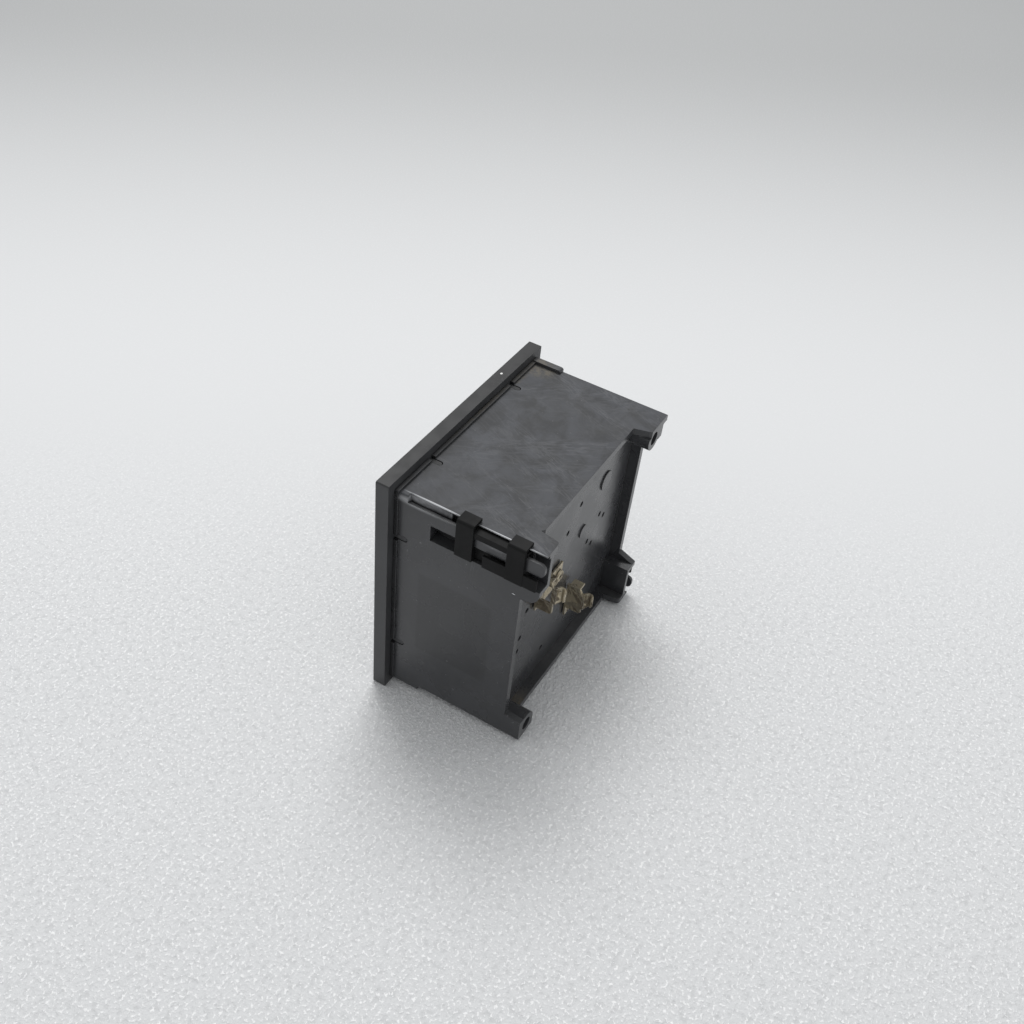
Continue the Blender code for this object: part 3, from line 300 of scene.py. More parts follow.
# the case
casePlastic = {
    "colour": (0.0445, 0.0455, 0.0488),
    # painted shade: the top's base colour, darker than the sides'
    "paintedTopShade": (0.022, 0.0235, 0.0275),
    "film": (0.054, 0.0575, 0.0675),
    "scuffAndPaintedLight": (0.27, 0.273, 0.284),
    "dust": (0.15, 0.148, 0.142),
    "brownDust": (0.2, 0.168, 0.115),
    "wornAndHighlit": (0.17, 0.172, 0.178),
    "shine": (0.75, 0.76, 0.78),
    "grooveGrey": (0.5, 0.505, 0.52),
    # dark colour for grime and painted shade in the crevices and behind the bezel, and for the smoother
    # rectangle
    "grimeAndPaintedShade": (0.006, 0.006, 0.006),
    "roughness": 0.27,
    "filmRoughness": 0.58,
    # shares of each coat
    "filmAmount": 0.85,
    "scribbleFilm": 0.22,
    "darkPatchFilm": 0.3,
    "wipeMarks": 0.27,
    "smoothAmount": 0.25,
    "sideRubs": 0.16,
    "speckAmount": 0.35,
    "dusty": 0.3,
    "brownAmount": 0.5,
    "grooveAmount": 0.9,
    "bandAmount": 0.3,
    "edgeWearAndHighlight": 0.45,
    "grimeAndShadeAmount": 0.62,
    "grimeAndShadeInGroove": 0.1,
    # heights between which the film of the top sets in, in millimetres like all that follows
    "topFrom": 42.1,
    "topTo": 43.7,
    # places from the middle of the front face, and how far each patch reaches
    "scribble": ((11.0, 16.5, 44.1), (17.0, 10.0, 4.0)),
    "darkPatch": ((9.0, 29.0, 44.1), (9.0, 7.0, 4.0)),
    "brownPatches": [((-34.0, 4.8, 44.5), (16.0, 4.0, 3.0)), ((-40.0, 9.0, 44.5), (7.0, 8.0, 3.0)),
                     ((-10.0, 5.4, 44.5), (34.0, 1.6, 3.0)), ((36.0, 50.0, -41.6), (14.0, 5.0, 1.2))],
    "grooveDustAndPaintedLight": ((42.6, 14.0, 42.2), (3.0, 20.0, 2.4)),
    "bandLight": ((44.1, 41.5, 40.2), (1.0, 7.0, 1.9)),
    # painted highlights: two along the lip's edge and a glint on the ear
    "shines": [((42.15, 19.0, 44.0), (0.55, 14.0, 0.5)), ((42.15, 46.0, 44.0), (0.55, 16.0, 0.5)),
               ((44.1, 49.6, 24.6), (0.6, 0.8, 0.2))],
    # depths between which the grime and painted shade behind the bezel end
    "collarFrom": 6.2,
    "collarTo": 6.9,
    # two corners of the smoother rectangle on the near side, and how softly it ends
    "smoothLow": (43.5, 14.0, -24.0),
    "smoothHigh": (44.0, 43.5, 14.0),
    "smoothEdge": 1.5,
    # how far the wiped lines are drawn out, and their turns in degrees
    "wipes": [((1.0, 7.0, 1.0), (0, 0, -21)), ((1.0, 9.0, 1.0), (0, 0, 35))],
    # scratches and scales of the patterns
    "wipeLines": {"lines": 520.0, "patches": 90.0, "amount": 0.75, "width": 0.05},
    "scribbleLines": {"lines": 420.0, "patches": 260.0, "amount": 1.0, "width": 0.03, "waviness": 1.6},
    "rubLines": {"lines": 300.0, "patches": 50.0, "amount": 0.45},
    "toneScale": 60.0,
    "cloudScale": 110.0,
    "speckScale": 900.0,
    "dustScale": 70.0,
    "brownScale": 700.0,
    "grainScale": 1500.0,
    "grainHeight": 0.35,
    "bump": 0.16,
}
# of all mouldings, in metres: the rounding of edges in the shading, and the height of the grain
edgeRounding = 0.00022
grainDepth = 0.00005


def smoothFaceMask(tree, vector):
    low, high = place(*casePlastic["smoothLow"]), place(*casePlastic["smoothHigh"])
    soft = casePlastic["smoothEdge"] * mm
    x, y, z = parts(tree, vector)
    masks = [fade(tree, x, low.x, high.x)]
    for value, start, end in ((y, low.y, high.y), (z, low.z, high.z)):
        masks += [fade(tree, value, start, start + soft), fade(tree, value, end - soft, end, 1.0, 0.0)]
    return times(tree, *masks)


def caseMaterial():
    # black moulding under a grey, wiped film on its top, with scuffs, scribbled scratches and brown dust
    settings = casePlastic
    material, tree, shader, vector = newMaterial("caseBlack", settings["colour"], settings["roughness"])
    facing = facingUp(tree)
    y, z = parts(tree, vector)[1:]
    upwards = fade(tree, facing, 0.3, 0.9)
    low, high = place(0, 0, settings["topFrom"]).z, place(0, 0, settings["topTo"]).z
    top = times(tree, upwards, fade(tree, z, low, high))
    tone = fade(tree, noise(tree, vector, settings["toneScale"], 4.0, 0.55, 0.3), 0.3, 0.7)
    cloudy = fade(tree, noise(tree, vector, settings["cloudScale"], 6.0, 0.62, 0.6), 0.36, 0.64)
    colour = mottled(tree, tone, settings["colour"], 0.86, 1.16)
    # painted shade: the top's base is darker than the sides'
    colour = mixColour(tree, top, colour, settings["paintedTopShade"])

    # the film is cloudy, thicker under the scribbles and thinner in one dark patch
    scribble = spotMask(tree, vector, settings["scribble"])
    thinner = spotMask(tree, vector, settings["darkPatch"])
    film = mathNode(tree, "MULTIPLY", cloudy, settings["filmAmount"])
    film = mathNode(tree, "ADD", film, mathNode(tree, "MULTIPLY", scribble, settings["scribbleFilm"]))
    film = mathNode(tree, "SUBTRACT", film, mathNode(tree, "MULTIPLY", thinner, settings["darkPatchFilm"]))
    colour = mixColour(tree, mathNode(tree, "MULTIPLY", film, top, True), colour, settings["film"])
    wipes = [scratchMask(tree, stretched(tree, vector, *wipe), **settings["wipeLines"])
             for wipe in settings["wipes"]]
    scribbled = times(tree, scratchMask(tree, vector, **settings["scribbleLines"]), scribble)
    marks = times(tree, brightest(tree, wipes + [scribbled]), top)
    colour = coat(tree, colour, marks, settings["wipeMarks"], settings["scuffAndPaintedLight"])

    # the sides: a smoother rectangle, rubs and light specks
    colour = coat(tree, colour, smoothFaceMask(tree, vector), settings["smoothAmount"], settings["grimeAndPaintedShade"])
    rubs = scratchMask(tree, stretched(tree, vector, (1.0, 1.0, 7.0)), **settings["rubLines"])
    colour = coat(tree, colour, rubs, settings["sideRubs"], settings["scuffAndPaintedLight"])
    specks = fade(tree, noise(tree, vector, settings["speckScale"], 1.0, 0.5), 0.765, 0.79)
    colour = coat(tree, colour, specks, settings["speckAmount"], settings["scuffAndPaintedLight"])

    # dust, brown in the corners, and grey dust with painted light in the front groove
    settled = useGroup(tree, dust, vector, {"Patch Scale": settings["dustScale"]})
    colour = coat(tree, colour, settled, settings["dusty"], settings["dust"])
    brown = brightest(tree, [spotMask(tree, vector, spot) for spot in settings["brownPatches"]])
    crumbs = noise(tree, vector, settings["brownScale"], 4.0, 0.7)
    brown = times(tree, brown, fade(tree, crumbs, 0.36, 0.62, 0.15, 1.0), upwards)
    colour = coat(tree, colour, brown, settings["brownAmount"], settings["brownDust"])
    # grey dust and painted light on the front groove's walls, against the shade under the lip
    grooved = times(tree, spotMask(tree, vector, settings["grooveDustAndPaintedLight"]),
                    fade(tree, cloudy, 0.0, 1.0, 0.5, 1.0), fade(tree, facing, 0.3, 0.9, 1.0, 0.0))
    colour = coat(tree, colour, grooved, settings["grooveAmount"], settings["grooveGrey"])
    # painted light on the tongue's face between the clamps
    band = spotMask(tree, vector, settings["bandLight"])
    colour = coat(tree, colour, band, settings["bandAmount"], settings["scuffAndPaintedLight"])

    # rubbed edges with a painted highlight, grime and painted shade in the crevices and behind the bezel, and
    # painted highlights along the lip and on the ear
    worn = useGroup(tree, edges, vector)
    # rubbed wear and a painted highlight along the edges
    colour = coat(tree, colour, worn, settings["edgeWearAndHighlight"], settings["wornAndHighlit"])
    # painted shade and grime behind the bezel and in the crevices, less of it in the front groove
    collarStart, collarEnd = place(0, settings["collarFrom"], 0).y, place(0, settings["collarTo"], 0).y
    collar = fade(tree, y, collarStart, collarEnd, 1.0, 0.0)
    hollow = brightest(tree, [useGroup(tree, crevices, vector), collar])
    share = fade(tree, grooved, 0.0, 0.5, settings["grimeAndShadeAmount"], settings["grimeAndShadeInGroove"])
    colour = mixColour(tree, times(tree, hollow, share), colour, settings["grimeAndPaintedShade"])
    # painted highlights along the lip's edge and a glint on the ear
    shine = brightest(tree, [spotMask(tree, vector, spot) for spot in settings["shines"]])
    colour = mixColour(tree, shine, colour, settings["shine"])
    link(tree, colour, shader.inputs["Base Color"])

    plain = fade(tree, tone, 0.0, 1.0, settings["roughness"] - 0.04, settings["roughness"] + 0.05)
    dull = mathNode(tree, "MAXIMUM", mathNode(tree, "MULTIPLY", top, settings["filmRoughness"]), plain)
    dull = mathNode(tree, "ADD", dull, mathNode(tree, "MULTIPLY", settled, 0.15), True)
    link(tree, dull, shader.inputs["Roughness"])
    grain = noise(tree, vector, settings["grainScale"], 2.0, 0.5)
    raised = mathNode(tree, "MULTIPLY", grain, settings["grainHeight"])
    relief = mathNode(tree, "SUBTRACT", raised, marks)
    addBump(tree, shader, relief, settings["bump"], grainDepth, edgeRounding)
    return material


# bezel, clamps and the mouldings inside; what the three have in common comes first
mouldedPlastic = {
    "toneScale": 90.0, "rubLines": 320.0, "rubPatches": 70.0, "rubShare": 0.3, "paintedUpShare": 0.8,
    "dustScale": 90.0, "grainScale": 1400.0, "grainHeight": 0.4, "bump": 0.14,
}


def plasticMaterial(name, settings):
    common = mouldedPlastic
    material, tree, shader, vector = newMaterial(name, settings["colour"], settings["roughness"],
                                                 specular=settings["specular"])
    tone = fade(tree, noise(tree, vector, common["toneScale"], 4.0, 0.55, 0.3), 0.3, 0.7)
    colour = mottled(tree, tone, settings["colour"], 0.85, 1.18)
    # faces that face up take their own colour: painted shade on the bezel's top, a little painted light on
    # the inner mouldings
    upwards = fade(tree, facingUp(tree), 0.3, 0.9, 0.0, common["paintedUpShare"])
    colour = mixColour(tree, upwards, colour, settings["paintedUpTone"])
    along = stretched(tree, vector, (1.0, 1.0, 6.0), settings["rubTurn"])
    rubs = scratchMask(tree, along, common["rubLines"], common["rubPatches"], settings["rubs"])
    colour = coat(tree, colour, rubs, common["rubShare"], settings["wornAndHighlit"])
    settled = useGroup(tree, dust, vector, {"Patch Scale": common["dustScale"]})
    colour = coat(tree, colour, settled, settings["dusty"], settings["dust"])
    # rubbed wear and a painted highlight along the edges
    colour = coat(tree, colour, useGroup(tree, edges, vector), settings["edgeWearAndHighlight"], settings["wornAndHighlit"])
    if "fleck" in settings:
        fleck = fade(tree, spotMask(tree, vector, settings["fleck"]), 0.3, 0.6)
        colour = mixColour(tree, fleck, colour, settings["fleckColour"])
    link(tree, colour, shader.inputs["Base Color"])
    rough = fade(tree, tone, 0.0, 1.0, settings["roughness"] - 0.04, settings["roughness"] + 0.06)
    rough = mathNode(tree, "ADD", rough, mathNode(tree, "MULTIPLY", settled, settings["dusty"] * 0.4), True)
    link(tree, rough, shader.inputs["Roughness"])
    grain = noise(tree, vector, common["grainScale"], 2.0, 0.5)
    relief = mathNode(tree, "SUBTRACT", mathNode(tree, "MULTIPLY", grain, common["grainHeight"]), rubs)
    addBump(tree, shader, relief, common["bump"], grainDepth, edgeRounding)
    return material


bezelPlastic = {
    "colour": (0.053, 0.054, 0.0565), "wornAndHighlit": (0.16, 0.162, 0.166), "dust": (0.1, 0.099, 0.094),
    "roughness": 0.52, "specular": 0.45, "rubTurn": (0, 0, 0), "rubs": 0.6, "dusty": 0.08, "edgeWearAndHighlight": 0.5,
    # painted shade on the bezel's top
    "paintedUpTone": (0.006, 0.006, 0.0065),
    "fleck": ((-24.3, 2.2, 48.0), (0.75, 0.6, 0.6)), "fleckColour": (0.85, 0.85, 0.82),
}
clampPlastic = {
    "colour": (0.0045, 0.0045, 0.0047), "wornAndHighlit": (0.03, 0.03, 0.031), "dust": (0.04, 0.04, 0.038),
    "roughness": 0.62, "specular": 0.22, "rubTurn": (0, 90, 0), "rubs": 0.3, "dusty": 0.12, "edgeWearAndHighlight": 0.12,
    "paintedUpTone": (0.0045, 0.0045, 0.0047),
}
innerPlastic = {
    "colour": (0.016, 0.016, 0.0165), "wornAndHighlit": (0.06, 0.06, 0.06), "dust": (0.1, 0.1, 0.1),
    "roughness": 0.5, "specular": 0.5, "rubTurn": (0, 0, 0), "rubs": 0.2, "dusty": 0.1, "edgeWearAndHighlight": 0.1,
    "paintedUpTone": (0.02, 0.02, 0.02),
}
dress(caseMaterial(), "case")
dress(plasticMaterial("bezelBlack", bezelPlastic), "bezel")
dress(plasticMaterial("clampBlack", clampPlastic), "clamp_upper", "clamp_lower")
dress(plasticMaterial("innerBlack", innerPlastic), "pivot_cover", "zero_adjuster")


# metals: colour, roughness, how far the brushed lines are drawn out, tarnish and its level, nodes
metals = {
    "plainSteel": {"colour": (0.5, 0.5, 0.49), "roughness": 0.32, "brushed": (1.0, 5.0, 1.0),
                   "nodes": ["spindle", "moving_vane", "fixed_vane", "dial_screw_left", "dial_screw_right",
                             "frame_screw_upper", "frame_screw_lower", "bridge_screw_upper",
                             "bridge_screw_lower"]},
    "platedFrame": {"colour": (0.55, 0.54, 0.5), "roughness": 0.4, "brushed": (5.0, 1.0, 1.0),
                    "tarnish": (0.4, 0.38, 0.33), "level": 0.2, "nodes": ["movement_frame"]},
    "turnedBrass": {"colour": (0.62, 0.47, 0.22), "roughness": 0.28, "brushed": (1.0, 5.0, 1.0),
                    "tarnish": (0.4, 0.3, 0.15), "level": 0.3,
                    "nodes": ["front_bridge", "front_bearing", "rear_bearing", "zero_lever",
                              "balance_weight_tail", "balance_weight_side"]},
    "thinAluminium": {"colour": (0.72, 0.73, 0.74), "roughness": 0.36, "brushed": (5.0, 1.0, 1.0),
                      "nodes": ["damping_vane", "damping_chamber", "damping_cover"]},
    "springBronze": {"colour": (0.72, 0.48, 0.28), "roughness": 0.3, "brushed": (1.0, 1.0, 1.0),
                     "nodes": ["hairspring"]},
    "leadCopper": {"colour": (0.5, 0.2, 0.08), "roughness": 0.3, "brushed": (1.0, 1.0, 1.0),
                   "nodes": ["coil_lead_near", "coil_lead_far"]},
}


metalSurface = {"lineScale": 1200.0, "tarnishScale": 260.0, "tarnishAmount": 0.85, "tarnishRoughness": 0.3,
                "tarnishMetallic": 0.55, "bump": 0.15, "bumpDepth": 0.00003}


def metalMaterial(name, settings):
    roughness = settings["roughness"]
    material, tree, shader, vector = newMaterial(name, settings["colour"], roughness, 1.0)
    lines = noise(tree, stretched(tree, vector, settings["brushed"]), metalSurface["lineScale"], 3.0, 0.6)
    colour = mottled(tree, fade(tree, lines, 0.3, 0.7), settings["colour"], 0.86, 1.12)
    if "tarnish" in settings:
        patches = noise(tree, vector, metalSurface["tarnishScale"], 5.0, 0.65, 0.3)
        mask = fade(tree, patches, 0.62 - settings["level"] * 0.3, 0.7)
        colour = coat(tree, colour, mask, metalSurface["tarnishAmount"], settings["tarnish"])
        rough = fade(tree, mask, 0.0, 1.0, roughness, roughness + metalSurface["tarnishRoughness"])
        link(tree, rough, shader.inputs["Roughness"])
        metallic = fade(tree, mask, 0.0, 1.0, 1.0, metalSurface["tarnishMetallic"])
        link(tree, metallic, shader.inputs["Metallic"])
    else:
        rough = fade(tree, lines, 0.25, 0.75, roughness - 0.06, roughness + 0.08)
        link(tree, rough, shader.inputs["Roughness"])
    link(tree, colour, shader.inputs["Base Color"])
    addBump(tree, shader, lines, metalSurface["bump"], metalSurface["bumpDepth"])
    return material


for metalName, metalSettings in metals.items():
    dress(metalMaterial(metalName, metalSettings), *metalSettings["nodes"])


# terminals and their rivets
terminalBrass = {
    "colour": (0.66, 0.585, 0.44),
    "olive": (0.45, 0.385, 0.26),
    "stainAndShade": (0.05, 0.032, 0.019),
    "bright": (0.85, 0.82, 0.72),
    "roughness": 0.3,
    "dullRoughness": 0.62,
    "metallic": 0.85,
    "dullMetallic": 0.35,
    "oliveAmount": 0.8,
    "stainAmount": 0.8,
    "brightEdges": 0.8,
    "grimeAndShadeAmount": 0.6,
    "darkWebPatch": ((24.0, 51.5, 4.0), (4.0, 5.0, 7.0)),
    "lineScale": 900.0,
    "tarnishScale": 260.0,
    "stainScale": 330.0,
    "webBreakupScale": 420.0,
    "edgeBreakup": 500.0,
    "stainHeight": 1.5,
    "bump": 0.25,
    # metres
    "bumpDepth": 0.00004,
    "edgeRounding": 0.00018,
}


def terminalMaterial():
    # dull brass, brushed upright, with olive tarnish and brown stains
    settings = terminalBrass
    material, tree, shader, vector = newMaterial("dullBrass", settings["colour"], settings["roughness"], 1.0)
    upright = stretched(tree, vector, (1.0, 1.0, 9.0))
    lines = fade(tree, noise(tree, upright, settings["lineScale"], 3.0, 0.6), 0.3, 0.7)
    colour = mottled(tree, lines, settings["colour"], 0.82, 1.0)
    tarnish = fade(tree, noise(tree, vector, settings["tarnishScale"], 5.0, 0.7, 0.6), 0.4, 0.58)
    colour = coat(tree, colour, tarnish, settings["oliveAmount"], settings["olive"])
    running = stretched(tree, vector, (1.0, 1.0, 2.5), (25, 0, 0))
    stains = fade(tree, noise(tree, running, settings["stainScale"], 5.0, 0.7, 0.8), 0.5, 0.58)
    # the near terminal's web is darker in one broken patch
    webBreakup = noise(tree, vector, settings["webBreakupScale"], 4.0, 0.65, 0.6)
    darkWeb = times(tree, spotMask(tree, vector, settings["darkWebPatch"]),
                   fade(tree, webBreakup, 0.36, 0.56, 0.35, 1.0))
    stains = brightest(tree, [stains, darkWeb])
    colour = coat(tree, colour, stains, settings["stainAmount"], settings["stainAndShade"])
    # rubbed brass and a painted highlight along the edges
    wornAndHighlit = useGroup(tree, edges, vector, {"Breakup": settings["edgeBreakup"]})
    colour = coat(tree, colour, wornAndHighlit, settings["brightEdges"], settings["bright"])
    # grime and painted shade in the hollows
    hollow = useGroup(tree, crevices, vector)
    colour = coat(tree, colour, hollow, settings["grimeAndShadeAmount"], settings["stainAndShade"])
    link(tree, colour, shader.inputs["Base Color"])
    dull = mathNode(tree, "MAXIMUM", mathNode(tree, "MULTIPLY", tarnish, 0.6), stains)
    rough = fade(tree, dull, 0.0, 1.0, settings["roughness"], settings["dullRoughness"])
    link(tree, rough, shader.inputs["Roughness"])
    metallic = fade(tree, dull, 0.0, 1.0, settings["metallic"], settings["dullMetallic"])
    link(tree, metallic, shader.inputs["Metallic"])
    relief = mathNode(tree, "ADD", lines, mathNode(tree, "MULTIPLY", stains, settings["stainHeight"]))
    addBump(tree, shader, relief, settings["bump"], settings["bumpDepth"], settings["edgeRounding"])
    return material


dress(terminalMaterial(), "terminal_near", "terminal_far", "terminal_rivet_near", "terminal_rivet_far")


# the coil's winding
windingWire = {"colour": (0.5, 0.2, 0.08), "gap": (0.16, 0.05, 0.02), "pitch": 0.0009, "roughness": 0.28,
               "metallic": 0.75, "bump": 0.6, "bumpDepth": 0.0002}


def windingMaterial():
    # enamelled wire laid side by side: rings across the depth
    settings = windingWire
    material, tree, shader, vector = newMaterial("enamelledCopper", settings["colour"], settings["roughness"],
                                                 settings["metallic"])
    turns = mathNode(tree, "MULTIPLY", parts(tree, vector)[1], math.tau / settings["pitch"])
    ridge = fade(tree, mathNode(tree, "SINE", turns), -1.0, 1.0)
    # the gaps between the turns are darker: painted shade
    link(tree, mixColour(tree, ridge, settings["gap"], settings["colour"]), shader.inputs["Base Color"])
    addBump(tree, shader, ridge, settings["bump"], settings["bumpDepth"])
    return material


dress(windingMaterial(), "coil_winding")


# paints, cream plastic and rubber: the grain's scale and how dark its darkest spots are
softFinishes = {
    "dialPaint": {"colour": (0.8, 0.79, 0.74), "roughness": 0.55, "grain": 350.0, "darkest": 0.98,
                  "nodes": ["dial_plate"]},
    "pointerPaint": {"colour": (0.012, 0.012, 0.012), "roughness": 0.5, "grain": 600.0, "darkest": 0.9,
                     "nodes": ["pointer"]},
    "bobbinCream": {"colour": (0.66, 0.62, 0.5), "roughness": 0.5, "grain": 300.0, "darkest": 0.9,
                    "nodes": ["coil_bobbin"]},
    "sealRubber": {"colour": (0.02, 0.02, 0.02), "roughness": 0.8, "grain": 500.0, "darkest": 0.9,
                   "nodes": ["window_gasket"]},
}
softBump = 0.1


def softMaterial(name, settings):
    roughness, darkest = settings["roughness"], settings["darkest"]
    material, tree, shader, vector = newMaterial(name, settings["colour"], roughness)
    grain = noise(tree, vector, settings["grain"], 3.0, 0.6)
    spread = fade(tree, grain, 0.3, 0.7)
    colour = mottled(tree, spread, settings["colour"], darkest, 2 - darkest)
    link(tree, colour, shader.inputs["Base Color"])
    rough = fade(tree, grain, 0.3, 0.7, roughness - 0.05, roughness + 0.08)
    link(tree, rough, shader.inputs["Roughness"])
    addBump(tree, shader, grain, softBump, grainDepth)
    return material


for softName, softSettings in softFinishes.items():
    dress(softMaterial(softName, softSettings), *softSettings["nodes"])


# the window
windowClear = {"colour": (0.97, 0.98, 0.98), "ior": 1.49, "roughness": 0.02, "hairlineRoughness": 0.12,
               "lines": 240.0, "patches": 30.0, "amount": 0.3}


def glassMaterial():
    settings = windowClear
    material, tree, shader, vector = newMaterial("windowClear", settings["colour"], settings["roughness"])
    shader.inputs["Transmission Weight"].default_value = 1.0
    shader.inputs["IOR"].default_value = settings["ior"]
    hairlines = scratchMask(tree, stretched(tree, vector, (1.0, 1.0, 7.0), (0, 30, 0)), settings["lines"],
                            settings["patches"], settings["amount"])
    rough = fade(tree, hairlines, 0.0, 1.0, settings["roughness"], settings["hairlineRoughness"])
    link(tree, rough, shader.inputs["Roughness"])
    return material


dress(glassMaterial(), "window_glass")
print("dressed the frame's nodes")


# printing on the dial, in millimetres
dialPrint = {
    "centre": (24.0, -24.0),
    "front": 11.96,
    "thickness": 0.03,
    "arcRadius": 50.0,
    "arcWidth": 0.45,
    "divisions": 50,
    "longTick": 5.0,
    "middleTick": 3.6,
    "shortTick": 2.6,
    "longWidth": 0.7,
    "middleWidth": 0.56,
    "shortWidth": 0.35,
    "numbers": 6,
    "numberStep": 20,
    "numberAngle": 18,
    "numberRadius": 42.0,
    "numberSize": 4.6,
    # degrees by which the first and the last number sit inwards, clear of the pointer at its ends
    "inwards": {0: 6, 100: -7},
    # words, name, place and size
    "letters": [("A", "unitLetter", 7.0, -3.0, 11.0), ("1.5", "classNumber", -31.0, -31.5, 3.0)],
    "boldness": 0.06,
    "ink": {"colour": (0.015, 0.015, 0.017), "roughness": 0.5, "grain": 500.0, "darkest": 0.9},
}
inkMaterial = softMaterial("scaleInk", dialPrint["ink"])


def deselect():
    if bpy.context.mode != "OBJECT":
        bpy.ops.object.mode_set(mode="OBJECT")
    bpy.ops.object.select_all(action="DESELECT")


def choose(*objects):
    deselect()
    for item in objects:
        item.select_set(True)
    bpy.context.view_layer.objects.active = objects[0]


def applyAll(piece):
    choose(piece)
    bpy.ops.object.transform_apply(location=True, rotation=True, scale=True)


def keep(piece, name, material, body):
    piece.name = name
    piece.data.name = name
    piece.data.materials.clear()
    piece.data.materials.append(material)
    applyAll(piece)
    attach(piece, body)


def scaleCentre():
    return place(dialPrint["centre"][0], dialPrint["front"], dialPrint["centre"][1])


def scaleTick(angle, length, width):
    # a thin bar, its inner end on the arc, turned to its place on the scale
    deselect()
    bpy.ops.mesh.primitive_cube_add(size=1.0, location=(0, 0, 0))
    tick = bpy.context.object
    tick.scale = (width * mm, dialPrint["thickness"] * mm, length * mm)
    tick.location = (0, 0, (dialPrint["arcRadius"] + length / 2) * mm)
    applyAll(tick)
    tick.rotation_euler = (0, math.radians(angle), 0)
    tick.location = scaleCentre()
    applyAll(tick)
    return tick


def buildTicks():
    ticks = []
    for i in range(dialPrint["divisions"] + 1):
        kind = "long" if i % 10 == 0 else "middle" if i % 5 == 0 else "short"
        angle = -90 + 90 * i / dialPrint["divisions"]
        ticks.append(scaleTick(angle, dialPrint[kind + "Tick"], dialPrint[kind + "Width"]))
    choose(*ticks)
    bpy.ops.object.join()
    keep(bpy.context.object, "scaleTicks", inkMaterial, "case")


def buildArc():
    # one open circle, all but its upper left quarter taken away, widened and thickened
    deselect()
    bpy.ops.mesh.primitive_circle_add(vertices=240, radius=dialPrint["arcRadius"] * mm, fill_type="NOTHING",
                                      location=(0, 0, 0), rotation=(0, 0, 0))
    line = bpy.context.object
    bpy.ops.object.mode_set(mode="EDIT")
    bpy.ops.mesh.select_all(action="DESELECT")
    shape = bmesh.from_edit_mesh(line.data)
    close = 0.1 * mm  # the two points at the ends of the quarter stay
    for vert in shape.verts:
        vert.select = vert.co.x > close or vert.co.y < -close
    bmesh.update_edit_mesh(line.data)
    bpy.ops.mesh.delete(type="VERT")
    bpy.ops.mesh.select_all(action="SELECT")
    bpy.ops.mesh.extrude_edges_move()
    grown = (dialPrint["arcRadius"] + dialPrint["arcWidth"]) / dialPrint["arcRadius"]
    bpy.ops.transform.resize(value=(grown, grown, 1.0), center_override=(0, 0, 0))
    bpy.ops.object.mode_set(mode="OBJECT")
    line.rotation_euler = (math.radians(90), 0, 0)
    line.location = scaleCentre()
    applyAll(line)
    thicken = line.modifiers.new("thicken", "SOLIDIFY")
    thicken.thickness = dialPrint["thickness"] * mm
    thicken.offset = 0.0
    choose(line)
    bpy.ops.object.modifier_apply(modifier="thicken")
    keep(line, "scaleArc", inkMaterial, "case")


def printText(words, name, x, z, size):
    deselect()
    bpy.ops.object.text_add(location=(0, 0, 0))
    text = bpy.context.object
    text.data.body = words
    text.data.size = size * mm
    text.data.align_x = "CENTER"
    text.data.align_y = "CENTER"
    text.data.extrude = dialPrint["thickness"] / 2 * mm
    text.data.offset = dialPrint["boldness"] * mm
    choose(text)
    bpy.ops.object.convert(target="MESH")
    text = bpy.context.object
    text.rotation_euler = (math.radians(90), 0, 0)
    text.location = place(x, dialPrint["front"], z)
    keep(text, name, inkMaterial, "case")


def buildNumbers():
    centreX, centreZmm = dialPrint["centre"]
    for i in range(dialPrint["numbers"]):
        value = i * dialPrint["numberStep"]
        angle = math.radians(-90 + dialPrint["numberAngle"] * i + dialPrint["inwards"].get(value, 0))
        x = centreX + dialPrint["numberRadius"] * math.sin(angle)
        z = centreZmm + dialPrint["numberRadius"] * math.cos(angle)
        printText(str(value), "scaleNumber" + str(value), x, z, dialPrint["numberSize"])
    for letter in dialPrint["letters"]:
        printText(*letter)


buildTicks()
buildArc()
buildNumbers()
print("printed the dial")


# floor, lamp and camera
floorSettings = {
    # three points of the meter that touch the floor, in millimetres
    "touch": [(-48.0, 5.0, -48.0), (48.0, 5.0, -48.0), (-41.0, 52.5, -45.5)],
    "size": 6.0,
    "below": 0.0001,
    "colour": (0.79, 0.795, 0.8),
    "farPaintedShade": (0.46, 0.465, 0.465),
    "sparkle": (1.0, 1.0, 1.0),
    "dimple": (0.52, 0.525, 0.53),
    "roughness": 0.8,
    "glossiest": 0.45,
    "dullest": 0.85,
    "grainScale": 950.0,
    "dimpleScale": 420.0,
    "dimpleAmount": 0.3,
    "bump": 0.7,
    "bumpDepth": 0.0007,
    # metres from the meter, along this direction, between which painted shade darkens the floor and its grain
    # fades
    "away": (-0.89, -0.45),
    "farStart": 0.06,
    "farEnd": 0.62,
    "grainStart": -0.07,
    "grainEnd": 0.07,
    "farGrain": 0.05,
}


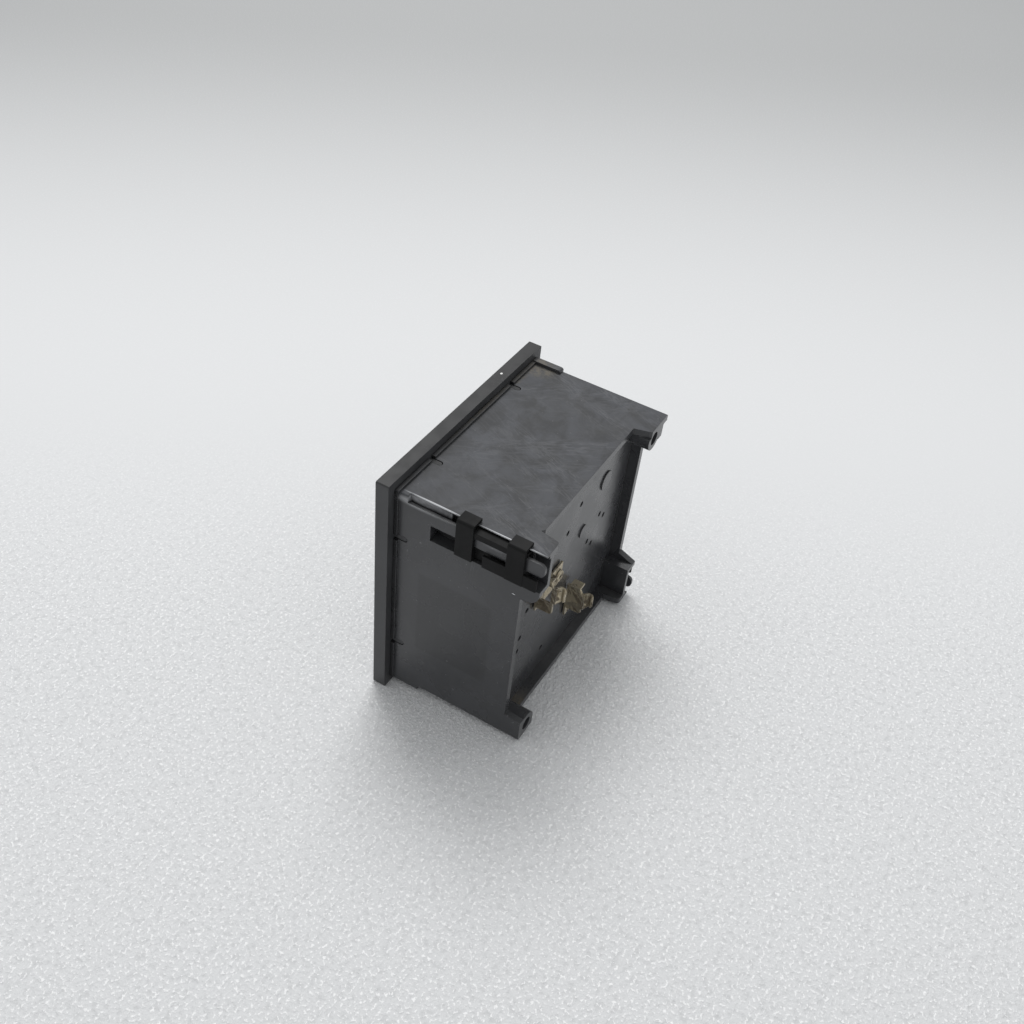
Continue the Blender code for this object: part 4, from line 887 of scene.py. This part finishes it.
def floorMaterial():
    # pale foam sheet with a fine grain
    settings = floorSettings
    material, tree, shader, vector = newMaterial("paleFoam", settings["colour"], settings["roughness"])
    x, y = parts(tree, vector)[:2]
    distance = mathNode(tree, "ADD", mathNode(tree, "MULTIPLY", x, settings["away"][0]),
                        mathNode(tree, "MULTIPLY", y, settings["away"][1]))
    # painted shade: the floor darker farther from the meter
    far = fade(tree, distance, settings["farStart"], settings["farEnd"])
    colour = mixColour(tree, far, settings["colour"], settings["farPaintedShade"])
    speckle = noise(tree, vector, settings["grainScale"], 2.0, 0.6)
    cells = noise(tree, vector, settings["dimpleScale"], 3.0, 0.6)
    close = fade(tree, distance, settings["grainStart"], settings["grainEnd"], 1.0, settings["farGrain"])
    dimples = times(tree, fade(tree, cells, 0.34, 0.52, settings["dimpleAmount"], 0.0), close)
    colour = mixColour(tree, dimples, colour, settings["dimple"])
    grains = times(tree, fade(tree, speckle, 0.56, 0.64, 0.0, 1.0), close)
    colour = mixColour(tree, grains, colour, settings["sparkle"])
    link(tree, colour, shader.inputs["Base Color"])
    rough = fade(tree, speckle, 0.5, 0.7, settings["dullest"], settings["glossiest"])
    link(tree, rough, shader.inputs["Roughness"])
    relief = times(tree, mathNode(tree, "ADD", speckle, cells), close)
    addBump(tree, shader, relief, settings["bump"], settings["bumpDepth"])
    return material


def buildFloor():
    first, second, third = [place(*point) for point in floorSettings["touch"]]
    normal = (second - first).cross(third - first).normalized()
    if normal.z < 0:
        normal.negate()
    deselect()
    spot = first - normal * floorSettings["below"]
    bpy.ops.mesh.primitive_plane_add(size=floorSettings["size"], location=spot)
    floor = bpy.context.object
    floor.name = "floor"
    floor.rotation_mode = "QUATERNION"
    floor.rotation_quaternion = Vector((0, 0, 1)).rotation_difference(normal)
    floor.data.materials.append(floorMaterial())


lampSettings = {"spot": (-0.62, -0.5, 1.39), "target": (0.0, 0.0, 0.0), "size": 0.8, "power": 13.0}
worldSettings = {"colour": (0.97, 0.985, 1.0), "strength": 0.55}


def buildLamp():
    spot, target = Vector(lampSettings["spot"]), Vector(lampSettings["target"])
    deselect()
    bpy.ops.object.light_add(type="AREA", location=spot)
    lamp = bpy.context.object
    lamp.name = "overhead"
    lamp.data.shape = "RECTANGLE"
    lamp.data.size = lampSettings["size"]
    lamp.data.size_y = lampSettings["size"]
    lamp.data.energy = lampSettings["power"]
    lamp.rotation_euler = (target - spot).to_track_quat("-Z", "Y").to_euler()


cameraSettings = {
    # fitted to the photograph, in millimetres from the middle of the meter's front face
    "spot": (268.1, 154.28, 283.32),
    "right": (-0.504794, 0.858760, 0.087833),
    "down": (0.549285, 0.398029, -0.734751),
    "forward": (-0.665935, -0.322652, -0.672627),
    "lens": 40.58,
}


def buildCamera():
    right, down, forward = [Vector(cameraSettings[key]) for key in ("right", "down", "forward")]
    deselect()
    bpy.ops.object.camera_add()
    camera = bpy.context.object
    turn = Matrix((right, -down, -forward)).transposed().to_4x4()
    turn.translation = place(*cameraSettings["spot"])
    camera.matrix_world = turn
    camera.data.lens = cameraSettings["lens"]
    camera.data.sensor_width = 36.0
    camera.data.clip_start = 0.01
    camera.data.clip_end = 20.0
    bpy.context.scene.camera = camera


def buildWorld():
    world = bpy.data.worlds.new("studio")
    bpy.context.scene.world = world
    world.use_nodes = True
    background = world.node_tree.nodes["Background"]
    background.inputs["Color"].default_value = (*worldSettings["colour"], 1.0)
    background.inputs["Strength"].default_value = worldSettings["strength"]


buildFloor()
buildLamp()
buildCamera()
buildWorld()
bpy.context.scene.view_settings.view_transform = "Standard"
print("floor, lamp and camera are in place")
